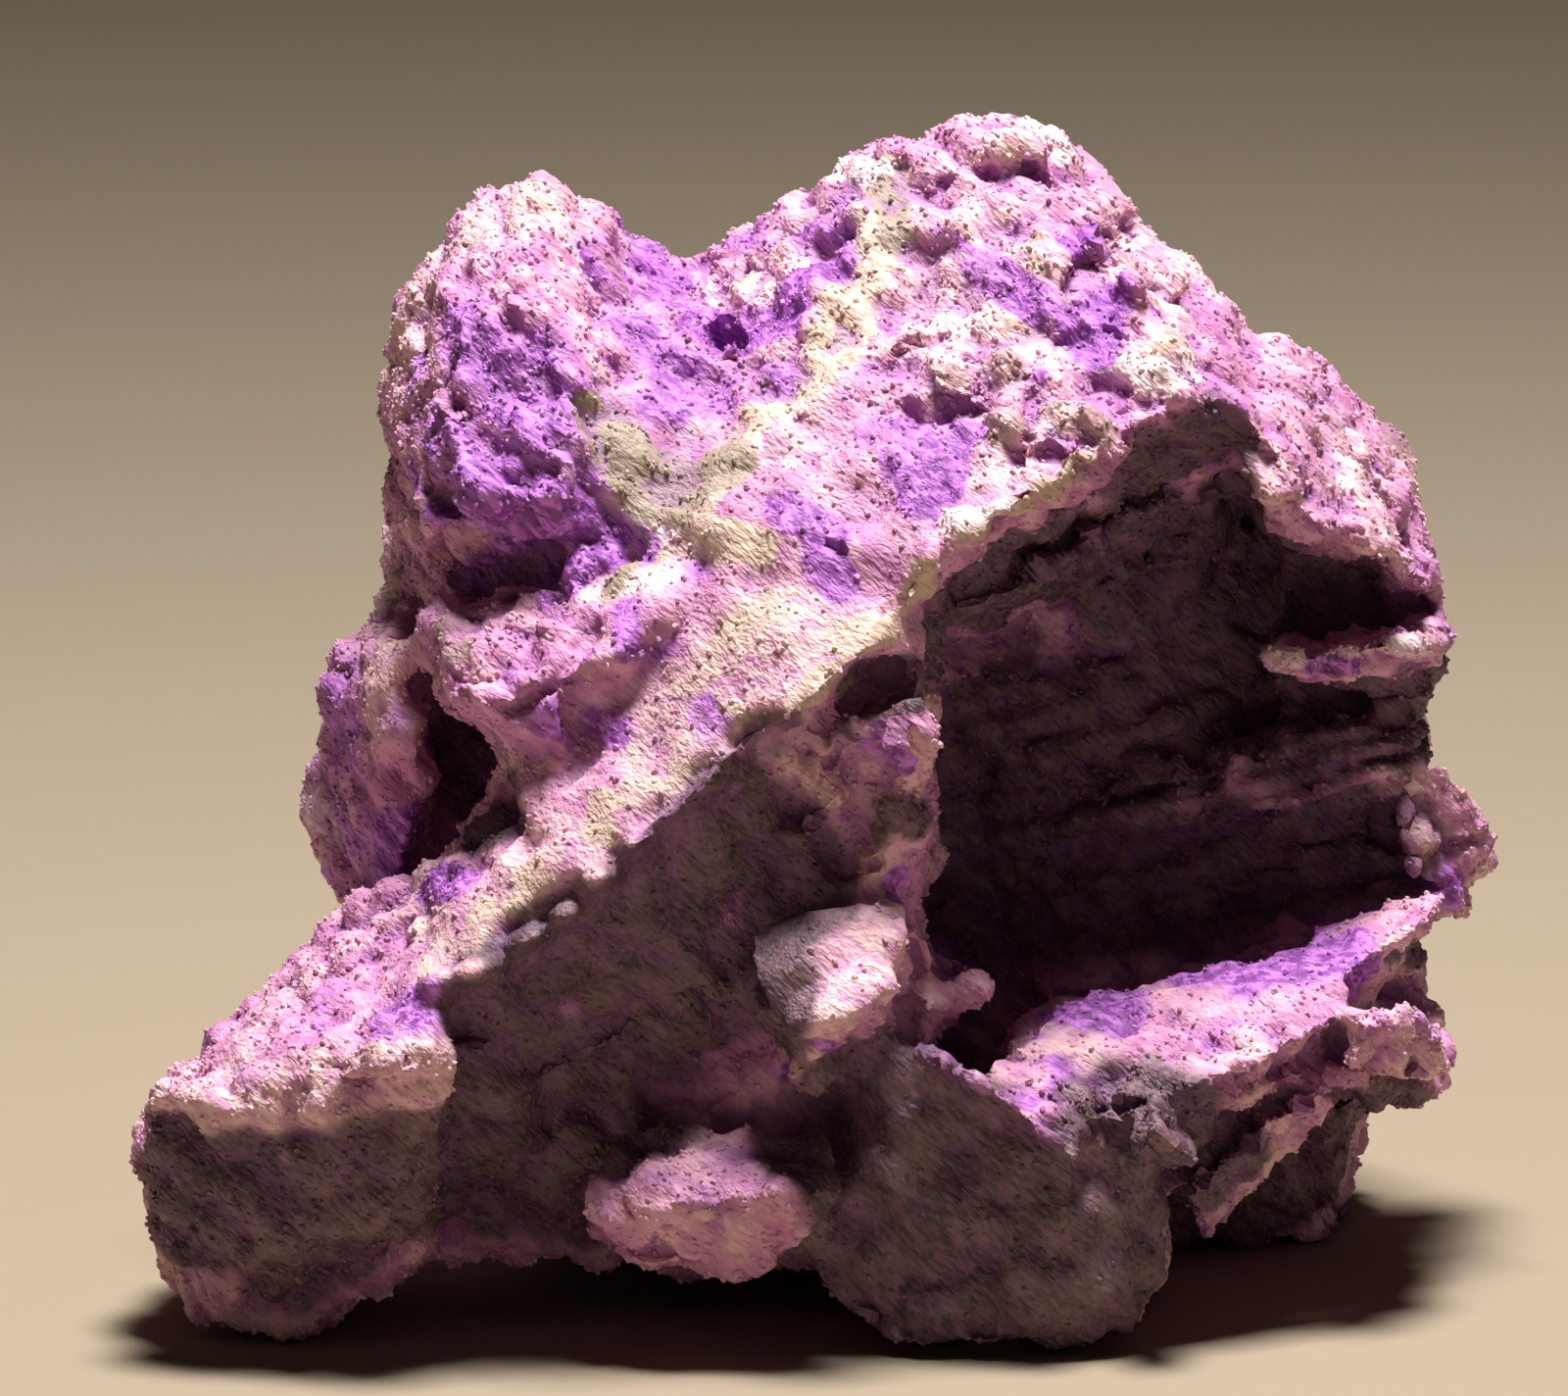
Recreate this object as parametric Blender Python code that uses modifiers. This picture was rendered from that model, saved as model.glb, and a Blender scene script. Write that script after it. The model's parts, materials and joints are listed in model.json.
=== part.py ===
"""Sugilite: one rough piece of stone, standing on the ends of its lower spurs.

The stone is put together from overlapping blocks, each the convex hull of a few
corners, the way a rough rock breaks along its joints. Hollows are cut out of the
blocks, the whole is fused into one skin, roughened, thinned and set on its feet.

Corners are (across, up, back) in millimetres, as a person standing in front of the
stone would measure them: across to the right and up from the front foot, both as
seen by an eye that looks down by VIEW_TILT, and back into the stone, away from it.
"""

import math

import bmesh
import bpy
from mathutils import Vector, noise

MM = 0.001

STONE_WIDTH = 140.0
VIEW_TILT = math.radians(10.0)
VIEW_DISTANCE = 1200.0
VIEW_CENTRE = (-3.0, 67.3)
FRONT_FOOT_BACK = -35.0

FUSE_VOXEL = 1.1
CRAG_SIZE, CRAG_HEIGHT = 14.0, 1.0
LUMP_SIZE, LUMP_HEIGHT = 5.5, 1.2
CREASE_WIDTH, CREASE_DEPTH = 0.18, 0.4
GRAIN_SIZE, GRAIN_HEIGHT = 2.6, 0.35
NOISE_SEED = 7
FOOT_WEAR = 1.0
TRIANGLES = 9600

SUGILITE_COLOUR = (0.52, 0.31, 0.50, 1.0)

# The masses that make up the stone, from the heart outwards.
BLOCKS = {
    "heart": [
        (-46, 78, 16), (-47, 50, 14), (-26, 16, 6), (34, 16, 6), (54, 30, 18), (60, 66, 24),
        (52, 94, 20), (34, 110, 14), (6, 112, 10), (-20, 106, 10), (-34, 78, 44), (-30, 26, 40),
        (36, 22, 44), (52, 70, 48), (30, 108, 40), (-8, 104, 44),
    ],
    "buttress": [
        (-38, 37.5, -43), (-18, 49.5, -45), (-10, 59.5, -44), (5, 72, -42), (12, 79.5, -39),
        (-14, 85.5, -26), (-27, 60.5, -31), (-40, 49.5, -28), (12.5, 61.5, -33), (11.5, 32.5, -26),
        (-23, 9.5, -16), (-38, 9.5, -16), (4, 8.5, -16), (-30, 22, -27), (-13, 78, 30), (12, 78, 25),
        (-38, 42, 14), (-23, 16, 22), (7, 14, 22),
    ],
    "arm": [
        (-69, 25.5, -28), (-70.2, 22, -22), (-62.5, 28, -26), (-63.5, 26, -40), (-50, 30, -46),
        (-40, 31, -48), (-37, 28, -46), (-38, 37.5, -43), (-48.5, 46, -16), (-55, 37.5, -20),
        (-40, 50, -24), (-66.5, 7.5, -22), (-60, 0.9, -26), (-52, 0.6, -28), (-43, 6.5, -27),
        (-38, 12, -30), (-40, 20, -42), (-66, 24, -4), (-48.5, 42, 8), (-62, 8, -6), (-40, 14, 4),
    ],
    "foot": [
        (10.5, 32, -36), (22, 25.5, -38), (26.5, 20, -39), (29, 9.5, -36), (28, 0, -35), (17, 0, -36),
        (4, 2, -34), (0, 8, -31), (1, 20, -30), (6, 31, -33), (7, 30, 10), (26, 20, 10), (5, 12, 12),
        (28, 8, 12),
    ],
    "crown": [
        (21, 128, 2), (24.5, 126.7, 2), (14.5, 124.5, -2), (5.5, 123.7, 4), (33, 116.7, 2),
        (41, 108, 0), (45, 104.5, 0), (12, 81, -39), (17, 84, -39), (25, 88.5, -36), (32, 94.5, -32),
        (38.5, 98.5, -27), (44, 97, -20), (7, 120.5, -4), (2, 105.5, -15), (-7, 93.5, -25),
        (-14, 85.5, -29), (-8, 80, -33), (8, 76, -39), (17, 73, 16), (42, 81, 20), (8, 110, 42),
        (33, 108, 40), (46, 96, 40), (2, 80, 40),
    ],
    "limb": [
        (45, 104.5, 2), (51.5, 103.5, 6), (53.5, 98.5, 4), (57, 96.5, 8), (62, 90.5, 8), (64.5, 82, 8),
        (64.8, 77, 8), (40, 98.5, -18), (46, 94.5, -23), (46.5, 86, -21), (57, 82, -16), (63, 77.5, -6),
        (47, 82, 14), (60, 78, 22), (57, 92, 40), (46, 98, 42),
    ],
    "shelf": [
        (46, 71.5, -15), (46, 69.3, -15), (57, 73.5, -12), (66.5, 75.2, 2), (64.5, 71, 0),
        (62, 68.5, -3), (52, 68.8, -13), (46, 74.5, 16), (62, 76.5, 25), (62, 70, 30), (46, 70, 24),
    ],
    "ledge": [
        (24, 34, -6), (35, 38, -3), (50, 44, 0), (65, 48, 6), (62, 43.5, -9), (53, 38.5, -19),
        (52, 34.5, -23), (41, 26.5, -31), (35, 21, -35), (32, 25.5, -35), (26.5, 20, -37),
        (41, 21, -20), (52, 30, -8), (60, 40, 28), (30, 24, 28), (54, 30, 30),
    ],
    "corner": [
        (54, 29.5, -17), (57, 25.5, -13), (63, 25.5, -9), (65.8, 28, -6), (66, 31.5, -3), (65, 35.5, 4),
        (60, 36, 4), (56, 33, 0), (62, 34, 26), (56, 26, 26), (64, 28, 20),
    ],
    "rear_leg": [
        (36, 9.6, 14), (42, 9.5, 19.5), (52.5, 9.5, 19.5), (36, 22, 4), (42, 24, 4), (57, 26, 10),
        (44, 13.2, 40), (53, 13.2, 40), (44, 36, 44), (60, 36, 42),
    ],
    "lobe": [
        (-44.5, 98.5, 2), (-44.2, 85.5, 2), (-43.5, 105.5, 2), (-42, 110, 2), (-39, 114, 2),
        (-33.5, 120, 2), (-29, 121, 2), (-25.5, 120.5, 4), (-19.5, 117.7, 6), (-36, 107, -18),
        (-38, 96.5, -25), (-28, 109, -17), (-24, 97, -24), (-36, 87, -29), (-25, 86, -30),
        (-41, 82.5, -17), (-38, 79, -10), (-23, 79.5, -16), (-40, 96.5, 30), (-29, 114, 28),
        (-20, 112, 32), (-24, 82, 34), (-40, 82, 26),
    ],
    "saddle": [
        (-21, 116, 8), (-11, 112.5, 10), (-18, 103, 4), (-13, 92, -14), (-14, 84, -25), (-22, 80, -25),
        (-24, 92, -16), (-10, 90, -20), (-22, 106, 38), (-10, 104, 40), (-10, 84, 20),
    ],
    "violet_knoll": [
        (-21, 107.5, -4), (-14, 104, -8), (-15, 99, -18), (-22, 98, -19), (-18, 96, -19),
        (-24, 103, -6), (-22, 103, 6), (-14, 101, 4),
    ],
    "valley": [
        (-22, 112, 2), (-11, 109, 2), (-22, 104, -13), (-9, 104, -12), (-22, 96, -22), (-8, 95, -21),
        (-22, 84, -28), (-10, 84, -27), (-22, 106, 20), (-8, 104, 20), (-22, 84, 0), (-8, 84, 0),
    ],
    "brow": [
        (-41, 76.5, -20), (-33, 78, -27), (-23, 80, -29), (-14, 84.5, -27), (-38, 69, -33),
        (-33, 66.5, -37), (-24, 68.5, -38), (-27, 64, -37), (-13, 77, -35), (-37, 64.5, -22),
        (-27, 58.5, -27), (-38, 74, 10), (-20, 72, 10),
    ],
    "flank": [
        (-49.2, 72, -2), (-47, 73.5, -6), (-43.5, 76, -4), (-49.5, 66.5, 0), (-50, 58.7, 2),
        (-52.5, 55.7, 6), (-50.5, 51.5, 4), (-49, 46.5, 0), (-43, 45, -8), (-41, 73.5, -15),
        (-39, 60.5, -16), (-41, 50.5, -12), (-44, 66.5, -16), (-46, 74, 30), (-48, 52, 28),
        (-38, 44, 24), (-38, 72, 24),
    ],
    "belly": [
        (-23, 14.5, -29), (-21, 10.5, -29), (-19, 18, -29), (-12, 23.5, -28), (3, 25.5, -27),
        (5, 18.5, -34), (1, 11.5, -37), (-7, 8.5, -38), (-19, 9.5, -34), (-20, 14, 0), (0, 16, 0),
        (-10, 10, 0),
    ],
    "tongue": [
        (-8, 38.5, -38), (9.5, 48, -33), (10.5, 45.5, -39), (7.5, 35.5, -46), (0, 32.5, -48),
        (-6.5, 34.5, -44), (0, 27.5, -38), (-6, 38, -10), (10, 48, -10), (8, 30, -10),
    ],
    "spur": [
        (3, 65, -40), (8, 63.5, -43), (13.5, 60, -39), (12.5, 69, -41), (10.5, 62.5, -42), (4, 62, -30),
        (12, 62, -24),
    ],
    "nub": [
        (12, 41, -28), (17, 41, -24), (17.5, 38, -24), (14, 34, -28), (11, 36, -30), (13, 40, -8),
        (13, 34, -8),
    ],
    "back_upper": [
        (-30, 104, 30), (-10, 104, 44), (16, 108, 46), (36, 104, 40), (-34, 72, 46), (-6, 74, 56),
        (20, 70, 58), (46, 76, 52), (-20, 50, 50), (30, 46, 54),
    ],
    "back_lower": [
        (-36, 66, 38), (0, 70, 50), (30, 66, 56), (50, 60, 48), (-32, 24, 36), (-6, 20, 44),
        (28, 17.5, 52), (46, 24, 44), (10, 44, 60),
    ],
    "back_foot": [
        (-30, 12.2, 30), (-14, 12.2, 30), (-30, 14, 44), (-12, 14, 46), (-30, 32, 44), (-8, 30, 48),
        (-26, 26, 20), (-8, 24, 20),
    ],
    "toe": [
        (26.5, 19, -38), (31.5, 26, -36), (35, 19.5, -33), (36.5, 9.5, -28), (35, 5.5, -30),
        (32, 1, -33), (26, 0, -35), (26, 14, 8), (36, 22, 10), (36, 12, 12),
    ],
    "shoulder": [
        (5, 122.5, 3), (1, 119, 5), (-4, 118.5, 7), (-12, 112.5, 10), (-17, 105, 4), (-21, 98, -6),
        (-20, 92, -13), (7, 120, -3), (2, 105.5, -14), (-7, 93.5, -24), (-14, 85.5, -26),
        (-10, 104, 36), (4, 112, 38), (2, 90, 10),
    ],
    "mound": [
        (22, 36, -12), (28, 37.2, -14), (31, 35.5, -18), (19.5, 31, -18), (18, 28, -32), (27, 27, -36),
        (35, 20, -36), (26, 20, -38), (24, 30, 10), (34, 28, 10),
    ],
    "lip": [
        (40, 21.5, -25), (43, 19, -22), (55.5, 30.5, -14), (54.5, 27.5, -12), (38, 17, -20),
        (36, 19, -22), (52, 25, -6), (44, 22, 4), (54, 28, 6),
    ],
    "corner_back": [
        (62, 43.5, 2), (63.5, 40, 6), (64.5, 36, 8), (55, 41, 4), (56, 31, 6), (60, 42, 30),
        (56, 30, 30),
    ],
    "nape": [
        (47, 86, 6), (60, 84, 14), (64, 79, 12), (46, 67, 6), (60, 65, 12), (63, 70, 12), (50, 86, 36),
        (61, 80, 34), (48, 64, 34), (60, 64, 34),
    ],
    "back_step": [
        (-36, 94, 30), (-16, 98, 46), (-34, 70, 46), (-14, 66, 56), (-26, 84, 22), (-30, 80, 50),
    ],
    "back_rib": [
        (12, 98, 48), (30, 92, 51), (8, 60, 63), (22, 56, 63), (2, 34, 54), (20, 30, 60), (16, 60, 40),
    ],
    "back_saddle": [
        (-20, 106, 28), (-4, 108, 28), (5, 111, 32), (-20, 102, 44), (4, 107, 45), (-16, 94, 26),
        (2, 96, 26),
    ],
    "right_rear": [
        (57, 86, 22), (58.5, 60, 20), (56.5, 34, 20), (50, 88, 46), (55, 60, 50), (50, 30, 46),
        (40, 90, 38), (40, 30, 38), (40, 60, 56), (57.5, 50, 32), (57, 76, 34),
    ],
    "left_wall": [
        (-42, 86, 4), (-45, 72, 6), (-38, 84, -8), (-38, 70, -10), (-44, 86, 26), (-45, 70, 28),
        (-30, 84, 20), (-30, 66, 20), (-42, 62, 8),
    ],
    "left_floor": [
        (-45, 68, 2), (-30, 66, -8), (-45, 49, 3), (-30, 48, -6), (-45, 68, 28), (-30, 66, 28),
        (-44, 47, 28), (-30, 46, 28),
    ],
}

# Thin beds that crop out in the great hollow, each rising to the right:
# the left end and the right end of its front edge, and how thick it is.
BEDS = [
    ((21, 58, 8), (62, 67.5, -2), 8),
    ((20, 54, 7), (61.5, 61, -3), 5),
    ((20, 49, 5), (69.5, 54.5, 1), 5),
    ((22, 43, 3), (67, 50, -2), 5),
    ((22, 38, 0), (60, 45, -2), 4),
]
BED_BACK = 32
BED_BEVEL = 3

# Hollows broken out of the fused blocks.
HOLLOWS = {
    "niche": [
        (46.5, 84, -26), (57, 81.5, -22), (60.5, 76.5, -16), (46.5, 74.5, -20), (59, 75.5, -16),
        (47, 83, 5), (58, 80.5, 7), (47, 75.5, 4), (58.5, 76.5, 6),
    ],
    "gully": [
        (26, 106, -36), (32, 115, -24), (35, 118, -18), (30, 105, -34), (36, 114, -20), (29, 108, -14),
        (33, 113, -8),
    ],
}

# Rounded pits: the place of each, and its radius.
PITS = {
    "eye": ((7, 67.5, -41), 4.2),
    "valley_pit": ((-9.5, 104.5, -9), 2.2),
    "shoulder_pit": ((-0.5, 113, -6), 1.8),
    "crown_pit": ((11, 99.5, -26), 2.4),
    "crown_crack": ((16, 97.5, -30), 2.0),
}


def eye_axes():
    """The eye's own upward and forward directions."""
    up = Vector((0, math.sin(VIEW_TILT), math.cos(VIEW_TILT)))
    forward = Vector((0, math.cos(VIEW_TILT), -math.sin(VIEW_TILT)))
    return up, forward


def place(corner):
    """A corner's place in metres, with the front foot on the floor."""
    across, up, back = corner
    eye_up, forward = eye_axes()
    centre_across, centre_up = VIEW_CENTRE
    target_height = (centre_up + FRONT_FOOT_BACK * math.sin(VIEW_TILT)) / math.cos(VIEW_TILT)
    target = Vector((centre_across, 0, target_height))
    eye = target - forward * VIEW_DISTANCE
    ray = forward * VIEW_DISTANCE + Vector((across - centre_across, 0, 0)) + eye_up * (up - centre_up)
    return (eye + ray * ((back - eye.y) / ray.y)) * MM


def clear_scene():
    for obj in list(bpy.data.objects):
        bpy.data.objects.remove(obj)


def new_collection(name):
    collection = bpy.data.collections.new(name)
    bpy.context.scene.collection.children.link(collection)
    return collection


def hull(name, corners, collection):
    """The convex block around these corners."""
    shape = bmesh.new()
    for corner in corners:
        shape.verts.new(place(corner))
    found = bmesh.ops.convex_hull(shape, input=shape.verts)
    inside = [g for g in found["geom_interior"] if isinstance(g, bmesh.types.BMVert)]
    bmesh.ops.delete(shape, geom=inside, context="VERTS")
    bmesh.ops.recalc_face_normals(shape, faces=shape.faces)
    mesh = bpy.data.meshes.new(name)
    shape.to_mesh(mesh)
    shape.free()
    obj = bpy.data.objects.new(name, mesh)
    collection.objects.link(obj)
    return obj


def apply_modifiers(obj):
    """Replaces the object's mesh by what its modifiers make of it."""
    graph = bpy.context.evaluated_depsgraph_get()
    mesh = bpy.data.meshes.new_from_object(obj.evaluated_get(graph))
    obj.modifiers.clear()
    obj.data = mesh


def fused(blocks, collection):
    """One closed skin around all the blocks."""
    shape = bmesh.new()
    beds = {f"bed_{i}": bed_corners(*bed) for i, bed in enumerate(BEDS)}
    for name, corners in {**blocks, **beds}.items():
        block = hull(name, corners, collection)
        shape.from_mesh(block.data)
        bpy.data.objects.remove(block)
    mesh = bpy.data.meshes.new("stone")
    shape.to_mesh(mesh)
    shape.free()
    stone = bpy.data.objects.new("stone", mesh)
    collection.objects.link(stone)
    remesh(stone)
    return stone


def bed_corners(left, right, thick):
    """A bed's corners: a blunt front edge, and the same edge again at the back."""
    corners = []
    for across, up, back in (left, right):
        corners += [
            (across, up, back + BED_BEVEL), (across, up - thick / 3, back),
            (across, up - thick, back + BED_BEVEL), (across, up - thick, BED_BACK), (across, up, BED_BACK),
        ]
    return corners


def remesh(stone):
    skin = stone.modifiers.new("skin", "REMESH")
    skin.mode = "VOXEL"
    skin.voxel_size = FUSE_VOXEL * MM
    apply_modifiers(stone)


def pit(name, corner, radius, collection):
    """A rough ball that bites a rounded pit."""
    ball = bmesh.new()
    bmesh.ops.create_icosphere(ball, subdivisions=2, radius=radius * MM)
    bmesh.ops.translate(ball, verts=ball.verts, vec=place(corner))
    mesh = bpy.data.meshes.new(name)
    ball.to_mesh(mesh)
    ball.free()
    obj = bpy.data.objects.new(name, mesh)
    collection.objects.link(obj)
    return obj


def cut_hollows(stone, collection):
    cutters = [hull(name, corners, collection) for name, corners in HOLLOWS.items()]
    cutters += [pit(name, corner, radius, collection) for name, (corner, radius) in PITS.items()]
    for cutter in cutters:
        name = cutter.name
        cutter.hide_render = True
        cutter.display_type = "WIRE"
        cut = stone.modifiers.new(name, "BOOLEAN")
        cut.operation = "DIFFERENCE"
        cut.object = cutter
    apply_modifiers(stone)


def roughness(point, normal):
    """How far the weathered skin stands from the flat break at this point, as a step in millimetres."""
    crag = noise.noise_vector(point / CRAG_SIZE) + 0.5 * noise.noise_vector(2 * point / CRAG_SIZE)
    near, next_nearest = noise.voronoi(point / LUMP_SIZE)[0][:2]
    lump = LUMP_HEIGHT * (0.45 - near)
    grain = GRAIN_HEIGHT * noise.fractal(point / GRAIN_SIZE, 0.9, 2.0, 3)
    crease = CREASE_DEPTH * max(0.0, 1 - (next_nearest - near) / CREASE_WIDTH)
    return crag * CRAG_HEIGHT + normal * (lump + grain - crease)


def roughen(stone):
    """Breaks the flat faces into crags, lumps and grains."""
    noise.seed_set(NOISE_SEED)
    mesh = stone.data
    normals = [vertex.normal.copy() for vertex in mesh.vertices]
    places = [vertex.co.copy() for vertex in mesh.vertices]
    moved = [place + roughness(place / MM, normal) * MM for place, normal in zip(places, normals)]
    mesh.vertices.foreach_set("co", [value for place in moved for value in place])


def thin(stone):
    """Keeps the triangles that carry the shape, most of them along the edges."""
    fewer = stone.modifiers.new("fewer", "DECIMATE")
    faces = sum(len(face.vertices) - 2 for face in stone.data.polygons)
    fewer.ratio = TRIANGLES / faces
    apply_modifiers(stone)


def set_on_feet(stone):
    """Wears the feet flat, and puts the origin on the floor under the middle of the stone."""
    shape = bmesh.new()
    shape.from_mesh(stone.data)
    everything = shape.verts[:] + shape.edges[:] + shape.faces[:]
    sole = Vector((0, 0, FOOT_WEAR * MM))
    bmesh.ops.bisect_plane(shape, geom=everything, plane_co=sole, plane_no=(0, 0, 1), clear_inner=True)
    rims = [edge for edge in shape.edges if edge.is_boundary]
    bmesh.ops.holes_fill(shape, edges=rims, sides=0)
    low, high = corners_of(shape)
    middle = Vector(((low.x + high.x) / 2, (low.y + high.y) / 2, low.z))
    bmesh.ops.translate(shape, verts=shape.verts, vec=-middle)
    size = STONE_WIDTH * MM / (high.x - low.x)
    bmesh.ops.scale(shape, verts=shape.verts, vec=(size, size, size))
    shape.to_mesh(stone.data)
    shape.free()
    return middle, size


def corners_of(shape):
    """The lowest and the highest corner of the box around a shape."""
    low = Vector([min(vert.co[axis] for vert in shape.verts) for axis in range(3)])
    high = Vector([max(vert.co[axis] for vert in shape.verts) for axis in range(3)])
    return low, high


def stone_material():
    """Pale lilac sugilite, dull and rough."""
    material = bpy.data.materials.new("sugilite")
    material.use_nodes = True
    finish = material.node_tree.nodes["Principled BSDF"].inputs
    finish["Base Color"].default_value = SUGILITE_COLOUR
    finish["Roughness"].default_value = 0.85
    finish["Metallic"].default_value = 0.0
    return material


def main():
    clear_scene()
    collection = new_collection("sugilite")
    cutters = new_collection("cutters")
    stone = fused(BLOCKS, collection)
    cut_hollows(stone, cutters)
    roughen(stone)
    remesh(stone)
    thin(stone)
    middle, size = set_on_feet(stone)
    stone.data.materials.append(stone_material())
    print("origin moved by", [round(value / MM, 2) for value in middle], "and size by", round(size, 4))


if __name__ == "__main__":
    main()
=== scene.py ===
# %% [markdown]
# # A rough piece of sugilite
# This lesson dresses one piece of rock: a hand-sized lump of massive sugilite that stands on its
# own spurs. The rock is pale lilac and looks like packed sugar. Violet patches, a tan vein and
# dark brown-grey matrix run through it. A faceted solid already gives the true form and size, so
# the work here is the skin, the grains, the few crystals and the colours.

# %% The frame
import json
import math

import bpy
import numpy as np
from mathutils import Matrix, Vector
from mathutils.bvhtree import BVHTree

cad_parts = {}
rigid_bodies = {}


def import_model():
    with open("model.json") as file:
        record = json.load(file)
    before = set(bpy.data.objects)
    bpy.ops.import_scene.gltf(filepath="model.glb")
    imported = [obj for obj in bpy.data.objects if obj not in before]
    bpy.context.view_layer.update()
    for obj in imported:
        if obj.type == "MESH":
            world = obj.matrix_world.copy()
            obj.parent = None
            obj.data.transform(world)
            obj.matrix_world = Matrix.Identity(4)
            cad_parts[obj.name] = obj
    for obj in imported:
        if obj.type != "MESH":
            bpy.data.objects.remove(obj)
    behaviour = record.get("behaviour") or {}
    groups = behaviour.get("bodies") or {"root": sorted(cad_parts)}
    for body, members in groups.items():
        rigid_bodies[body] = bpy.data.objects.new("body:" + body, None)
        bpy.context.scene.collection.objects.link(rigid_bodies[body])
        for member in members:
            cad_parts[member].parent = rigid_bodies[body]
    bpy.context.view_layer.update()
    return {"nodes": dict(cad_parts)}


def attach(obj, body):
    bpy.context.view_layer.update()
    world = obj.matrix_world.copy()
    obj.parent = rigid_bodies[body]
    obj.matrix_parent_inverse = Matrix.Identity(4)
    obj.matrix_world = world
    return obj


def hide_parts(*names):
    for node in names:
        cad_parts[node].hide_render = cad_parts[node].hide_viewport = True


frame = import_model()
MM = 0.001
solid = frame["nodes"]["stone"]
print("the solid has", len(solid.data.polygons), "triangles")

# %% [markdown]
# ## The eye
# The stone is meant to be seen from one side, from 1.2 m away and looking down by ten degrees. A
# long lens keeps the outline true. The eye also gives the lesson its way of naming places: the
# finished picture is 1600 wide and 1424 high, ten of its pixels are one millimetre of stone, and
# so a place is named by where it lies in the picture. Naming places in the stone's own three
# axes would make every list below a guess.

# %% The camera
SOLID_SCALE = 1.0035
VIEW_TILT = math.radians(10.0)
VIEW_DISTANCE = 1.2 * SOLID_SCALE
VIEW_TARGET = Vector((-4.466, -8.269, 61.384)) * MM
PICTURE_WIDTH, PICTURE_HEIGHT = 1600, 1424
PIXEL = 0.1 * MM * SOLID_SCALE
SENSOR_WIDTH = 36.0
FAR_CLIP = 20

eye_forward = Vector((0, math.cos(VIEW_TILT), -math.sin(VIEW_TILT)))
eye_up = Vector((0, math.sin(VIEW_TILT), math.cos(VIEW_TILT)))
eye = VIEW_TARGET - eye_forward * VIEW_DISTANCE

bpy.ops.object.select_all(action="DESELECT")
turn = eye_forward.to_track_quat("-Z", "Y").to_euler()
bpy.ops.object.camera_add(location=eye, rotation=turn)
camera = bpy.context.object
camera.data.sensor_width = SENSOR_WIDTH
camera.data.lens = SENSOR_WIDTH * VIEW_DISTANCE / (PICTURE_WIDTH * PIXEL)
camera.data.clip_end = FAR_CLIP
bpy.context.scene.camera = camera
print("the lens is", round(camera.data.lens), "mm, and the eye is at", [round(v, 3) for v in eye])

# %% [markdown]
# ## From a place of the picture to a point
# A ray runs from the eye through a place of the picture. Where it meets the solid, something on the
# surface is put. Where a form stands clear of the solid, the ray is followed to a stated depth
# instead. Blender's BVH tree answers such a ray in an instant.

# %% Finding a place of the picture on the stone
solid_tree = BVHTree.FromPolygons(
    [vertex.co.copy() for vertex in solid.data.vertices],
    [tuple(face.vertices) for face in solid.data.polygons],
)


def ray_to(x, y):
    """The direction from the eye to this place of the picture."""
    aside = Vector(((x - PICTURE_WIDTH // 2) * PIXEL, 0, 0))
    above = eye_up * (PICTURE_HEIGHT // 2 - y) * PIXEL
    return (eye_forward * VIEW_DISTANCE + aside + above).normalized()


def seen_at(x, y):
    """The point of the stone that the eye sees there, or the nearest one just beside its outline."""
    point, _, _, _ = solid_tree.ray_cast(eye, ray_to(x, y))
    if point is None:
        point, _, _, _ = solid_tree.find_nearest(eye + ray_to(x, y) * VIEW_DISTANCE)
    return point


def held_at(x, y, depth):
    """The point behind this place of the picture that lies this deep, in millimetres of Y."""
    ray = ray_to(x, y)
    return eye + ray * ((depth * MM - eye.y) / ray.y)


print("the eye meets the roof at", seen_at(650, 735))

# %% [markdown]
# ## Working on one piece at a time
# Blender's operators act on whatever is selected, and the loaded solid arrives selected. So each
# step starts by selecting its own piece alone, mostly through the few helpers below.

# %% Selecting and applying


def select_only(*pieces):
    """Selects these pieces alone, with the first as the active one."""
    bpy.ops.object.select_all(action="DESELECT")
    for piece in pieces:
        piece.select_set(True)
    bpy.context.view_layer.objects.active = pieces[0]


def apply_modifiers(piece):
    """Applies every modifier of the piece, from the top of its stack down."""
    select_only(piece)
    for modifier in list(piece.modifiers):
        bpy.ops.object.modifier_apply(modifier=modifier.name)


def modify(piece, kind, **settings):
    """Adds one modifier with these settings and applies it."""
    modifier = piece.modifiers.new(kind.lower(), kind)
    for setting, value in settings.items():
        setattr(modifier, setting, value)
    apply_modifiers(piece)


def edit(piece, operator, **settings):
    """Runs one operator in edit mode on the whole piece."""
    select_only(piece)
    bpy.ops.object.mode_set(mode="EDIT")
    bpy.ops.mesh.select_all(action="SELECT")
    operator(**settings)
    bpy.ops.object.mode_set(mode="OBJECT")


def triangles(piece):
    """How many triangles the piece's faces make."""
    return sum(len(face.vertices) - 2 for face in piece.data.polygons)


# %% [markdown]
# ## The body of the stone
# The skin starts as a copy of the solid, so that it can't drift from its size. The copy's loose
# triangles are merged first, because cutting and remeshing need a closed mesh. The small forms that
# the solid leaves out, its pits, shelves and knobs, come next, each in its own step.

# %% A copy of the solid
MERGE_DISTANCE = 0.00001

body = bpy.data.objects.new("sugilite", solid.data.copy())
bpy.context.scene.collection.objects.link(body)
body.data.materials.clear()
edit(body, bpy.ops.mesh.remove_doubles, threshold=MERGE_DISTANCE)
print("the copy has", len(body.data.vertices), "vertices after merging")

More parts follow.
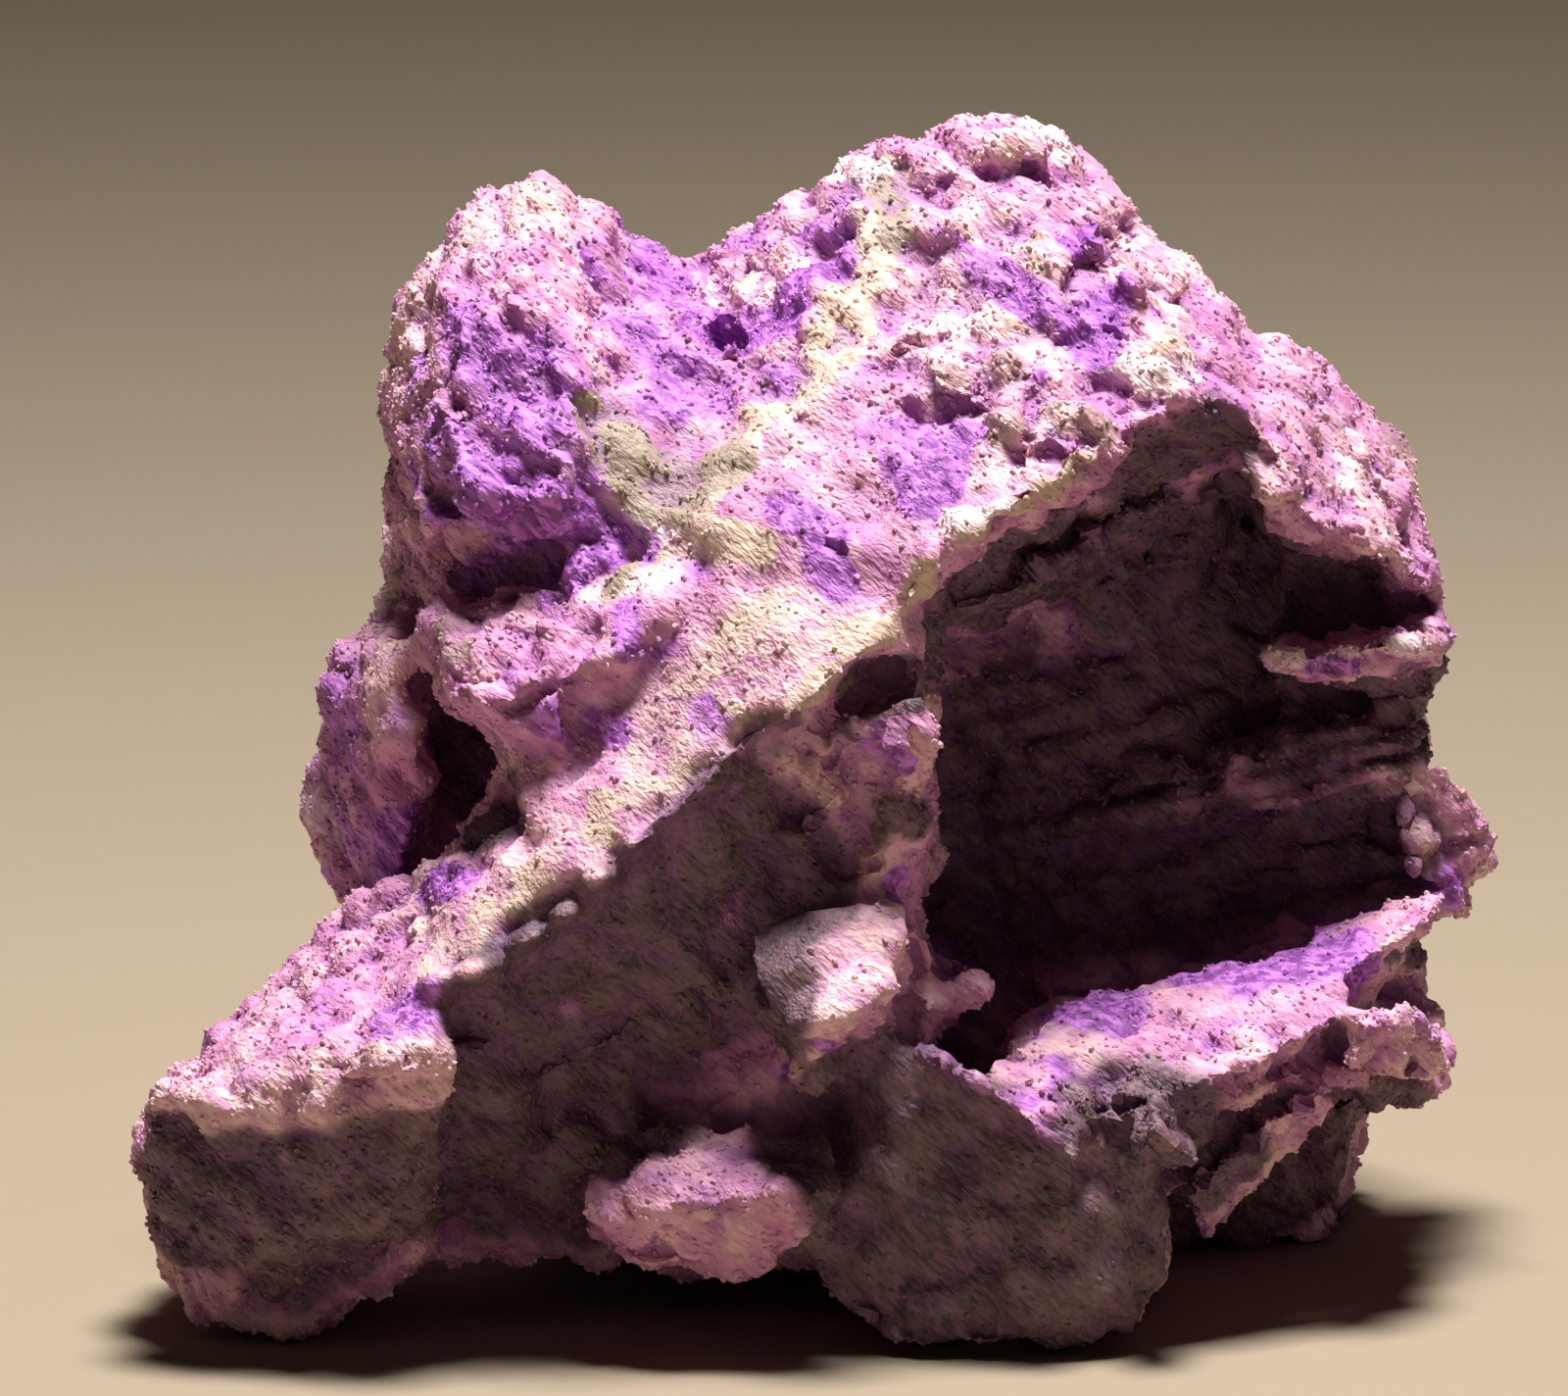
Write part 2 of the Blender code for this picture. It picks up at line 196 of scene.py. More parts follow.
# %% [markdown]
# ## Pits
# Where grains have fallen out, the stone has small deep pits, and a larger one looks like an eye
# under the roof. A Displace modifier can't dig that deep without tearing the mesh, so rough balls
# are cut out by a Boolean. It is done now, because a Boolean on the copy's few large faces is quick
# and safe. Balls that overlap are fused by a remesh first, so that each cut is one clean volume.

# %% Cutting the pits
PIT_VOXEL = 0.35
PITS = {
    "eye": ((902, 694), (3.0, 6.5, 2.4), -20),
    "eye_left": ((876, 712), (2.4, 4.5, 1.2), -35),
    "eye_right": ((926, 690), (1.3, 5.0, 1.7), 10),
    "under_roof": ((846, 738), (2.8, 3.4, 1.0), -38),
    "crown_crack": ((1135, 245), (3.6, 2.2, 0.9), -38),
    "crown_pit": ((1140, 268), (1.6, 2.0, 0.9), 0),
    "valley_pit": ((840, 252), (1.2, 2.2, 1.6), -30),
    "valley_hollow": ((724, 351), (2.6, 3.0, 0.9), 38),
    "valley_crack": ((765, 322), (1.9, 2.6, 0.7), -35),
    "shoulder_pit": ((985, 362), (1.0, 2.0, 0.8), 0),
    "crystal_gap": ((965, 412), (4.0, 2.4, 0.9), 8),
    "lip_gap": ((1070, 462), (2.4, 2.4, 1.0), 0),
}


def rough_ball(name, place, size, turn):
    """A ball of this half-size in millimetres, where the eye sees the place, turned as it sees it."""
    bpy.ops.object.select_all(action="DESELECT")
    bpy.ops.mesh.primitive_ico_sphere_add(
        subdivisions=2,
        radius=1,
        location=seen_at(*place),
        rotation=(0, math.radians(turn), 0),
        scale=Vector(size) * MM,
    )
    ball = bpy.context.object
    ball.name = name
    return ball


pits = [rough_ball(name, *how) for name, how in PITS.items()]
select_only(*pits)
bpy.ops.object.join()
pit_cutter = bpy.context.object
modify(pit_cutter, "REMESH", mode="VOXEL", voxel_size=PIT_VOXEL * MM)
modify(body, "BOOLEAN", operation="DIFFERENCE", object=pit_cutter)
bpy.data.objects.remove(pit_cutter)
print(len(PITS), "pits are cut")

# %% [markdown]
# ## Shelves
# The rock breaks into flat slabs: the ledge in front of the hollow, the tongue under the roof, the
# streaks at the lower right. Each is nearly a convex block, so it is drawn as the hull of a few
# corners, which gives the crisp planes that a stretched cube would need many edits for.

# %% Shelves as hulls of their corners
SHELVES = {
    "ledge": [
        (1045, 1050, -34), (1110, 1014, -27), (1200, 1003, -26), (1330, 963, -22),
        (1055, 1120, -44), (1200, 1118, -43), (1290, 1080, -38), (1378, 1036, -33),
        (1370, 992, -29), (1080, 1120, -30), (1360, 1040, -15),
    ],
    "ledge_end": [
        (1332, 965, -22), (1342, 944, -16), (1480, 904, -13), (1450, 944, -24),
        (1372, 994, -30), (1450, 952, -12), (1360, 1010, -14),
    ],
    "tongue": [
        (762, 958, -51), (800, 935, -48), (925, 918, -44), (915, 975, -49), (880, 1030, -51),
        (845, 1060, -52), (790, 1050, -52), (765, 990, -52), (840, 1050, -42), (900, 960, -40),
    ],
    "tongue_tip": [
        (795, 1055, -50), (860, 1050, -49), (862, 1085, -48), (835, 1120, -48), (805, 1100, -48),
        (830, 1080, -40), (800, 1060, -40), (850, 1090, -40),
    ],
    "streak_1": [
        (1208, 1234, -33), (1216, 1212, -37), (1290, 1150, -34), (1360, 1098, -29),
        (1362, 1128, -24), (1310, 1196, -26), (1232, 1262, -27), (1300, 1170, -18),
    ],
    "streak_2": [
        (1238, 1132, -37), (1330, 1088, -32), (1344, 1110, -26), (1262, 1166, -29),
        (1250, 1150, -20), (1340, 1110, -16),
    ],
    "tip": [
        (1432, 782, -9), (1470, 788, -8), (1505, 808, -6), (1528, 856, -4), (1500, 902, -5),
        (1440, 900, -12), (1425, 850, -12), (1450, 840, 8), (1500, 860, 6),
    ],
    "shoulder": [
        (1278, 342, -6), (1342, 350, -4), (1362, 398, -6), (1290, 400, -16), (1340, 420, -14),
        (1300, 380, 8),
    ],
    "lower_right": [
        (1370, 1030, -33), (1440, 1022, -29), (1480, 1040, -24), (1488, 1094, -21),
        (1440, 1112, -27), (1375, 1092, -33), (1420, 1060, -6), (1400, 1050, -36),
    ],
    "foot_brow": [
        (925, 1060, -46), (1000, 1100, -49), (1050, 1132, -50), (1035, 1160, -46),
        (940, 1090, -44), (1000, 1140, -38), (1050, 1150, -36),
    ],
    "wedge": [
        (1000, 1102, -45), (1050, 1046, -34), (1110, 1016, -28), (1118, 1110, -45),
        (1096, 1190, -50), (1040, 1142, -50), (1130, 1130, -44), (1080, 1150, -34),
    ],
    "nose": [
        (1150, 1134, -46), (1180, 1114, -45), (1238, 1190, -45), (1184, 1158, -51),
        (1150, 1186, -48), (1200, 1150, -34), (1218, 1200, -42), (1196, 1122, -42),
    ],
    "belly": [
        (592, 1240, -46), (640, 1156, -42), (700, 1146, -42), (842, 1156, -43), (858, 1216, -49),
        (800, 1298, -47), (630, 1296, -46), (600, 1200, -44), (690, 1222, -52), (796, 1218, -52),
        (700, 1240, -32), (820, 1240, -32),
    ],
    "niche_shelf": [
        (1288, 666, -12), (1380, 642, -8), (1460, 638, -6), (1490, 634, -4), (1476, 674, -8),
        (1452, 698, -10), (1300, 692, -14), (1380, 680, 6),
    ],
    "arm_face": [
        (152, 1112, -47), (250, 1130, -52), (440, 1092, -54), (452, 1150, -51), (400, 1250, -50),
        (250, 1290, -48), (160, 1270, -44), (140, 1180, -44), (300, 1200, -38), (330, 1300, -40),
    ],
    "eave_upper": [
        (735, 792, -56), (800, 738, -54), (885, 668, -51), (800, 720, -46), (720, 780, -48),
        (880, 650, -44),
    ],
}


def hull(name, corners):
    """A convex block through these corners: a place in the picture and a depth for each."""
    mesh = bpy.data.meshes.new(name)
    mesh.from_pydata([held_at(*corner) for corner in corners], [], [])
    block = bpy.data.objects.new(name, mesh)
    bpy.context.scene.collection.objects.link(block)
    edit(block, bpy.ops.mesh.convex_hull)
    return block


shelves = [hull(name, corners) for name, corners in SHELVES.items()]
print(len(shelves), "shelves stand ready")

# %% [markdown]
# ## Knobs
# Rounded crystals stand on the crown, lumps hang along the eave, and warts and a pebble sit lower
# down. They are too small for the solid but would be missed. Each is a squashed ball of few faces,
# sunk halfway into the stone, since the remesh that follows rounds its corners anyway.

# %% Knobs where the eye sees them
KNOBS = {
    "pebble": [((490, 1062), (2.2, 2.0, 2.0), 0), ((520, 1022), (1.4, 1.4, 1.3), 0)],
    "sliver": [((465, 1130), (1.0, 1.6, 3.0), -30)],
    "hollow_bump": [((1266, 552), (2.4, 2.6, 2.2), 10)],
    "nub": [((985, 1005), (2.4, 2.6, 2.6), 20)],
    "eave_lump": [
        ((718, 806), (2.2, 2.4, 1.3), -30), ((686, 834), (2.0, 2.6, 1.2), -30),
        ((655, 858), (2.4, 2.6, 1.4), -30), ((616, 896), (2.4, 2.6, 1.6), -25),
        ((579, 936), (2.0, 2.6, 1.4), -25), ((540, 964), (2.6, 2.6, 1.5), -25),
        ((490, 992), (3.0, 2.6, 1.6), -10), ((448, 1002), (2.2, 2.4, 1.5), -10),
    ],
    "arm_lump": [
        ((170, 1135), (2.4, 2.4, 2.0), 10), ((230, 1140), (3.0, 2.0, 1.4), -10),
        ((330, 1120), (3.4, 2.2, 1.4), -25), ((420, 1085), (2.4, 2.4, 1.4), -10),
    ],
    "rim": [
        ((950, 880), (1.8, 2.4, 1.8), 20), ((962, 930), (1.6, 2.4, 2.0), 0),
        ((940, 830), (1.2, 2.0, 2.0), 0),
    ],
    "niche": [
        ((1385, 590), (1.2, 1.6, 1.0), 0), ((1410, 580), (1.4, 1.6, 1.0), 0),
        ((1428, 572), (1.0, 1.4, 0.9), 0),
    ],
    "wart": [((166, 1292), (1.3, 1.4, 0.9), 0), ((172, 1318), (1.1, 1.2, 0.9), 0)],
    "crystal": [
        ((1026, 378), (2.3, 2.0, 1.9), 40), ((965, 392), (2.4, 1.8, 1.5), 50),
        ((1026, 438), (2.7, 2.4, 2.4), 30), ((1075, 425), (1.9, 2.0, 1.9), 40),
        ((1118, 432), (2.8, 2.0, 1.3), 40), ((1150, 455), (1.4, 1.6, 1.2), 40),
        ((1110, 468), (1.4, 1.6, 1.0), 40),
    ],
    "crown_knob": [
        ((1150, 292), (2.2, 1.8, 1.7), 20), ((1065, 240), (1.8, 1.4, 1.1), 30),
        ((1058, 275), (0.8, 1.4, 1.9), 0), ((1200, 292), (2.0, 1.6, 1.6), 30),
        ((1040, 152), (3.4, 2.4, 1.8), 10),
    ],
}

knobs = [rough_ball(name, *how) for name, group in KNOBS.items() for how in group]
select_only(body, *shelves, *knobs)
bpy.ops.object.join()
print(len(knobs), "knobs and the shelves are joined to the body")

# %% [markdown]
# ## One even skin
# The copy, the shelves and the knobs pass through one another. A fine voxel remesh makes a single
# skin of them, with vertices close enough together to carry the relief. It can leave crumbs beside
# the skin or sealed inside it, so only what is joined to the top of the stone is kept.

# %% Remeshing and dropping the crumbs
SKIN_VOXEL = 0.60

modify(body, "REMESH", mode="VOXEL", voxel_size=SKIN_VOXEL * MM)


def keep_joined(piece, kind, first, **limits):
    """Deletes all that isn't joined to this vertex or face."""
    select_only(piece)
    bpy.ops.object.mode_set(mode="EDIT")
    bpy.ops.mesh.select_mode(type=kind)
    bpy.ops.mesh.select_all(action="DESELECT")
    bpy.ops.object.mode_set(mode="OBJECT")
    members = piece.data.vertices if kind == "VERT" else piece.data.polygons
    members[first].select = True
    bpy.ops.object.mode_set(mode="EDIT")
    bpy.ops.mesh.select_linked(**limits)
    bpy.ops.mesh.select_all(action="INVERT")
    bpy.ops.mesh.delete(type=kind)
    bpy.ops.object.mode_set(mode="OBJECT")


top = max(body.data.vertices, key=lambda vertex: vertex.co.z).index
before = len(body.data.vertices)
keep_joined(body, "VERT", top)
after = len(body.data.vertices)
print("the even skin has", after, "vertices, after", before - after, "of loose crumbs went")

# %% [markdown]
# ## Strokes
# Weathering and colour aren't the same everywhere, so both are laid on with strokes. A stroke is
# a line through places of the picture, with a reach in millimetres and a strength. It fades with
# distance in space, so a stroke on the front never stains the back. A single place makes a dab.

# %% From strokes to weights
FULLNESS = 1.6
STEP_PER_REACH = 6
COUNTS_FROM = 0.3


def places_of(piece):
    """The place of each vertex, as rows of an array."""
    co = np.empty(len(piece.data.vertices) * 3)
    piece.data.vertices.foreach_get("co", co)
    return co.reshape(-1, 3)


def along(places, step):
    """Places along a line through the picture, a step of pixels apart."""
    for (x0, y0), (x1, y1) in zip(places, places[1:]):
        count = max(1, round(math.hypot(x1 - x0, y1 - y0) / step))
        for i in range(count):
            yield x0 + (x1 - x0) * i / count, y0 + (y1 - y0) * i / count
    yield places[-1]


def stroked(piece, strokes, spread=1.0):
    """A weight for each vertex: each stroke's strength along its line, and nothing at its reach."""
    co = places_of(piece)
    order = np.argsort(co[:, 0])
    co = co[order]
    weights = np.zeros(len(co))
    for places, reach, strength in strokes:
        span = reach * spread * MM
        for place in along(places, STEP_PER_REACH * reach):
            point = np.array(seen_at(*place))
            first, last = np.searchsorted(co[:, 0], (point[0] - span, point[0] + span))
            away = np.linalg.norm(co[first:last] - point, axis=1) / span
            near = np.clip(FULLNESS * (1 - away), 0, 1)
            part = strength * near * near * (3 - 2 * near)  # eases in and out
            weights[first:last] = np.maximum(weights[first:last], part)
    unsorted = np.empty(len(co))
    unsorted[order] = weights
    return unsorted


print("a stroke is at full strength over the inner", round(100 * (1 - 1 / FULLNESS)), "% of its reach")


# %% From weights to vertex groups
def mask(piece, name, weights):
    """Keeps a weight for each vertex as a vertex group, which modifiers can use."""
    group = piece.vertex_groups.new(name=name)
    steps = np.round(weights, 2)
    for step in np.unique(steps):
        members = np.nonzero(steps == step)[0].tolist()
        group.add(members, float(step), "REPLACE")


print("a mask has steps of 0.01")

# %% Where it is smooth, bedded and undercut
SMOOTH_STROKES = [
    ([(460, 980), (600, 880), (640, 800), (720, 720), (800, 660), (880, 600)], 11, 0.9),
    ([(560, 780), (700, 620), (800, 540)], 10, 0.75),
    ([(700, 460), (800, 470), (900, 480)], 9, 0.5),
    ([(800, 980), (900, 940)], 8, 1.0), ([(840, 1020)], 7, 1.0),
    ([(1100, 1060), (1300, 1020), (1420, 940)], 9, 0.7),
    ([(380, 700), (360, 800), (400, 880)], 9, 0.4),
    ([(240, 1100), (400, 1000)], 8, 0.4),
    ([(880, 1150), (1000, 1250), (1120, 1280)], 16, 0.6),
    ([(500, 1100), (600, 1000), (700, 900)], 12, 0.6),
]
BEDDED_STROKES = [
    ([(1060, 780), (1440, 760)], 16, 1.0), ([(1060, 860), (1440, 860)], 14, 1.0),
    ([(1080, 640), (1260, 620)], 14, 0.6), ([(1060, 920), (1420, 870)], 12, 0.9),
    ([(1330, 500), (1440, 660)], 9, 0.5),
]
UNDERCUT_STROKES = [
    ([(520, 1030), (640, 950), (720, 880), (800, 800)], 9, 1.0),
    ([(560, 1060), (700, 980), (760, 900)], 10, 1.0),
    ([(600, 1120), (720, 1060)], 9, 0.8),
    ([(860, 860), (880, 800)], 5, 0.6),
    ([(1000, 600), (1100, 545), (1200, 485), (1255, 480)], 6, 0.8),
    ([(1020, 640), (1200, 540)], 7, 0.6),
]
smooth = stroked(body, SMOOTH_STROKES)
mask(body, "lumpy", 1 - smooth)
mask(body, "bedded", stroked(body, BEDDED_STROKES))
mask(body, "undercut", stroked(body, UNDERCUT_STROKES))
print("the smooth places are", round(float((smooth > COUNTS_FROM).mean()), 3), "of the skin")

# %% [markdown]
# ## Creases and ribs
# Some cracks and some thin edges are large enough to be known by sight. They could be modelled one
# by one, but on a fine skin it is simpler to mark each with a thin stroke and to move the marked
# vertices in or out a little when the weathering is done.

# %% Creases and ribs
CREASE_STROKES = [
    ([(1095, 290), (1110, 262), (1140, 240), (1168, 218)], 1.3, 1.0),
    ([(958, 186), (985, 172), (1012, 176)], 1.0, 0.8), ([(1045, 172), (1075, 184)], 1.0, 0.8),
    ([(915, 352), (945, 345), (972, 330)], 1.2, 0.9), ([(925, 412), (965, 420), (1003, 420)], 1.3, 1.0),
    ([(1000, 392), (1003, 440)], 0.9, 0.8), ([(1052, 400), (1052, 450)], 0.9, 0.7),
    ([(1040, 462), (1090, 468)], 1.2, 0.9), ([(1120, 380), (1145, 396)], 0.9, 0.7),
    ([(1130, 330), (1150, 337)], 0.9, 0.8), ([(1150, 285), (1185, 290)], 1.0, 0.6),
    ([(560, 560), (520, 600), (470, 590)], 2.0, 0.8), ([(600, 640), (560, 700), (520, 730)], 1.8, 0.8),
    ([(580, 700), (600, 760), (570, 790)], 2.2, 1.0), ([(440, 760), (500, 800), (530, 860)], 2.4, 1.0),
    ([(700, 240), (740, 300), (745, 350)], 1.6, 0.6), ([(640, 560), (600, 590), (560, 600)], 1.4, 0.7),
    ([(500, 300), (540, 350), (560, 400)], 1.5, 0.7), ([(450, 400), (500, 450), (560, 480)], 1.5, 0.7),
    ([(600, 250), (620, 300), (600, 350)], 1.5, 0.6), ([(420, 480), (470, 540), (540, 560)], 1.6, 0.8),
    ([(900, 620), (930, 600)], 0.9, 0.8), ([(845, 552), (858, 562)], 0.9, 0.8),
    ([(1160, 872), (1300, 838), (1430, 800)], 1.6, 1.0), ([(1060, 820), (1200, 800)], 1.0, 0.7),
    ([(1120, 960), (1300, 910), (1440, 880)], 1.6, 0.8), ([(1320, 560), (1400, 545)], 1.6, 0.8),
    ([(1370, 1010), (1420, 1008), (1460, 1000)], 1.4, 0.9), ([(1260, 1180), (1300, 1140)], 1.0, 0.8),
    ([(1130, 1130), (1150, 1170)], 1.5, 0.9), ([(190, 1160), (300, 1170), (400, 1140)], 1.8, 0.6),
    ([(310, 1200), (330, 1280)], 1.6, 0.5), ([(250, 1200), (262, 1330)], 2.0, 0.7),
    ([(980, 1180), (1010, 1300), (1000, 1360)], 2.0, 0.6), ([(1110, 1180), (1090, 1280)], 1.8, 0.5),
    ([(940, 960), (930, 1060)], 1.3, 0.7),
    ([(1240, 420), (1300, 470), (1330, 540)], 1.6, 0.6), ([(1380, 440), (1420, 520)], 1.4, 0.5),
]
RIB_STROKES = [
    ([(1065, 772), (1180, 740), (1290, 702)], 2.0, 1.0), ([(1100, 835), (1280, 800), (1440, 752)], 1.4, 0.8),
    ([(1060, 905), (1200, 885), (1400, 868)], 1.4, 0.8), ([(1180, 930), (1330, 892)], 1.2, 0.6),
    ([(1290, 668), (1380, 664), (1455, 655)], 1.4, 0.9), ([(1440, 800), (1500, 830)], 1.3, 0.9),
    ([(1440, 870), (1500, 868)], 1.3, 0.7),
    ([(862, 738), (900, 736), (938, 716)], 1.1, 0.9), ([(848, 745), (835, 780), (822, 812)], 1.1, 1.0),
    ([(948, 565), (956, 640), (952, 700), (948, 770)], 1.2, 0.7), ([(880, 880), (920, 890)], 1.5, 0.8),
    ([(152, 1112), (200, 1120), (300, 1132), (350, 1100), (430, 1075)], 1.3, 0.9),
    ([(600, 1190), (700, 1180), (830, 1180)], 1.5, 0.7), ([(610, 1260), (740, 1270), (830, 1220)], 1.6, 0.6),
    ([(1000, 1100), (1060, 1136), (1180, 1140), (1232, 1180)], 1.2, 0.8),
    ([(160, 1290), (220, 1250), (330, 1240), (420, 1250)], 2.2, 0.8),
    ([(200, 1345), (300, 1300), (380, 1290)], 2.2, 0.7),
    ([(880, 1180), (960, 1260), (1100, 1240)], 2.4, 0.6),
    ([(930, 1340), (1050, 1300), (1150, 1330)], 2.2, 0.6),
    ([(430, 640), (500, 620), (590, 640)], 1.6, 0.5), ([(470, 690), (560, 690)], 1.5, 0.5),
]
mask(body, "crease", stroked(body, CREASE_STROKES))
mask(body, "rib", stroked(body, RIB_STROKES))
print(len(CREASE_STROKES), "creases and", len(RIB_STROKES), "ribs are marked")

# %% [markdown]
# ## Weathering
# A Displace modifier moves each vertex along its normal by a texture. Clouds give the crags, and
# Voronoi cells with squared distance give round lumps with sharp creases between them, which is
# how packed grains look. The photograph shows the lumps drawn out along one slant, so the
# textures are read through an empty that is turned and stretched that way. Thin beds are a cloud
# read through another empty, which is wide along the layers and thin across them. Last, what the
# weathering pushed below the floor is set back on it, so that the feet stand flat.

# %% Displacing by textures
SLANT_ANGLE = 45


def guide(name, turn, stretch):
    """An empty, turned in degrees and stretched, through which a texture is read."""
    bpy.ops.object.select_all(action="DESELECT")
    bpy.ops.object.empty_add(rotation=[math.radians(angle) for angle in turn])
    empty = bpy.context.object
    empty.name = name
    empty.scale = stretch
    return empty


def weather(piece, name, kind, grain, height, middle, group, through, **settings):
    """Adds one scale of relief, its grain and height in millimetres.

    The texture's middle value moves nothing. The group says where, and an empty name means all over.
    """
    texture = bpy.data.textures.new(name, kind)
    texture.noise_scale = grain * MM
    for setting, value in settings.items():
        setattr(texture, setting, value)
    relief = piece.modifiers.new(name, "DISPLACE")
    relief.texture = texture
    relief.texture_coords = "OBJECT"
    relief.texture_coords_object = through
    relief.strength = height * MM
    relief.mid_level = middle
    relief.vertex_group = group


def shift(piece, name, group, height, direction="NORMAL"):
    """Moves what a vertex group holds by this many millimetres."""
    move = piece.modifiers.new(name, "DISPLACE")
    move.strength = height * MM
    move.mid_level = 0
    move.vertex_group = group
    move.direction = direction


print("the grains slant by", SLANT_ANGLE, "degrees")

# %% Weathering the skin
LUMP_STRETCH = (1.7, 1.0, 1.0)
BED_TURN, BED_STRETCH = (6, -10, 0), (16.0, 16.0, 1.0)
CELLS = {"distance_metric": "DISTANCE_SQUARED"}

slant = guide("slant", (0, SLANT_ANGLE, 0), LUMP_STRETCH)
layers = guide("layers", BED_TURN, BED_STRETCH)
shift(body, "undercut", "undercut", 5.0, "Y")
weather(body, "crags", "CLOUDS", 11.0, 2.6, 0.5, "", slant, noise_depth=2)
weather(body, "lumps", "VORONOI", 4.0, -3.0, 0.16, "lumpy", slant, **CELLS)
weather(body, "small_lumps", "VORONOI", 2.0, -1.1, 0.16, "lumpy", slant, **CELLS)
weather(body, "beds", "CLOUDS", 1.9, 2.6, 0.5, "bedded", layers, noise_depth=1)
shift(body, "rib", "rib", 1.1)
shift(body, "crease", "crease", -1.5)
weather(body, "grain", "CLOUDS", 0.9, 0.35, 0.5, "", slant, noise_depth=1)
apply_modifiers(body)
for empty in (slant, layers):
    bpy.data.objects.remove(empty)

# %% Back onto the floor
weathered = places_of(body)
print("the weathering reached", round(float(-weathered[:, 2].min()) / MM, 2), "mm below the floor")
weathered[:, 2] = np.maximum(weathered[:, 2], 0)
body.data.vertices.foreach_set("co", weathered.ravel())
body.data.update()
print("the weathered skin has", triangles(body), "triangles")

# %% [markdown]
# ## Thinning
# The fine skin has far more triangles than one piece should carry. A Decimate modifier takes the
# flat places down first and leaves the rough ones, so the look hardly changes. A coarser remesh
# would have lost the creases.

# %% Thinning the skin
SKIN_TRIANGLES = 195000

modify(body, "DECIMATE", ratio=SKIN_TRIANGLES / triangles(body))
print("the thinned skin has", triangles(body), "triangles")

# %% [markdown]
# ## No stray faces
# Thinning can leave a fin where the skin was folded tightly: two or four small faces back to back,
# hung on one edge. A fin is too small to see, but the mesh is also kept for itself, so it should be
# one closed skin. It shows only once every face is a triangle, so the skin is cut into triangles
# first. Then the edge that carries a fin belongs to more than two faces, which Blender can select.
# Such edges are marked as seams, what the highest face reaches without crossing a seam is kept,
# and the rest is deleted.

# %% Deleting the fins
SHARP_ANGLE = math.radians(60)

edit(body, bpy.ops.mesh.quads_convert_to_tris, quad_method="BEAUTY", ngon_method="BEAUTY")
bpy.ops.object.mode_set(mode="EDIT")
bpy.ops.mesh.select_mode(type="EDGE")
bpy.ops.mesh.select_all(action="DESELECT")
bpy.ops.mesh.select_non_manifold(
    extend=False, use_wire=False, use_boundary=False, use_multi_face=True,
    use_non_contiguous=False, use_verts=False,
)
bpy.ops.mesh.mark_seam()
bpy.ops.object.mode_set(mode="OBJECT")
highest = max(body.data.polygons, key=lambda face: face.center.z).index
keep_joined(body, "FACE", highest, delimit={"SEAM"})
edit(body, bpy.ops.mesh.mark_seam, clear=True)
bpy.ops.object.shade_smooth_by_angle(angle=SHARP_ANGLE)
print("the finished skin has", triangles(body), "triangles")

# %% [markdown]
# ## Where each mineral lies
# Each mineral is a float attribute on the skin, laid on with strokes like the masks before. The
# back and sides aren't in the picture, so there a slow noise in the material takes over; the
# attribute `wild` says how much, from nothing on the front to full on the back.

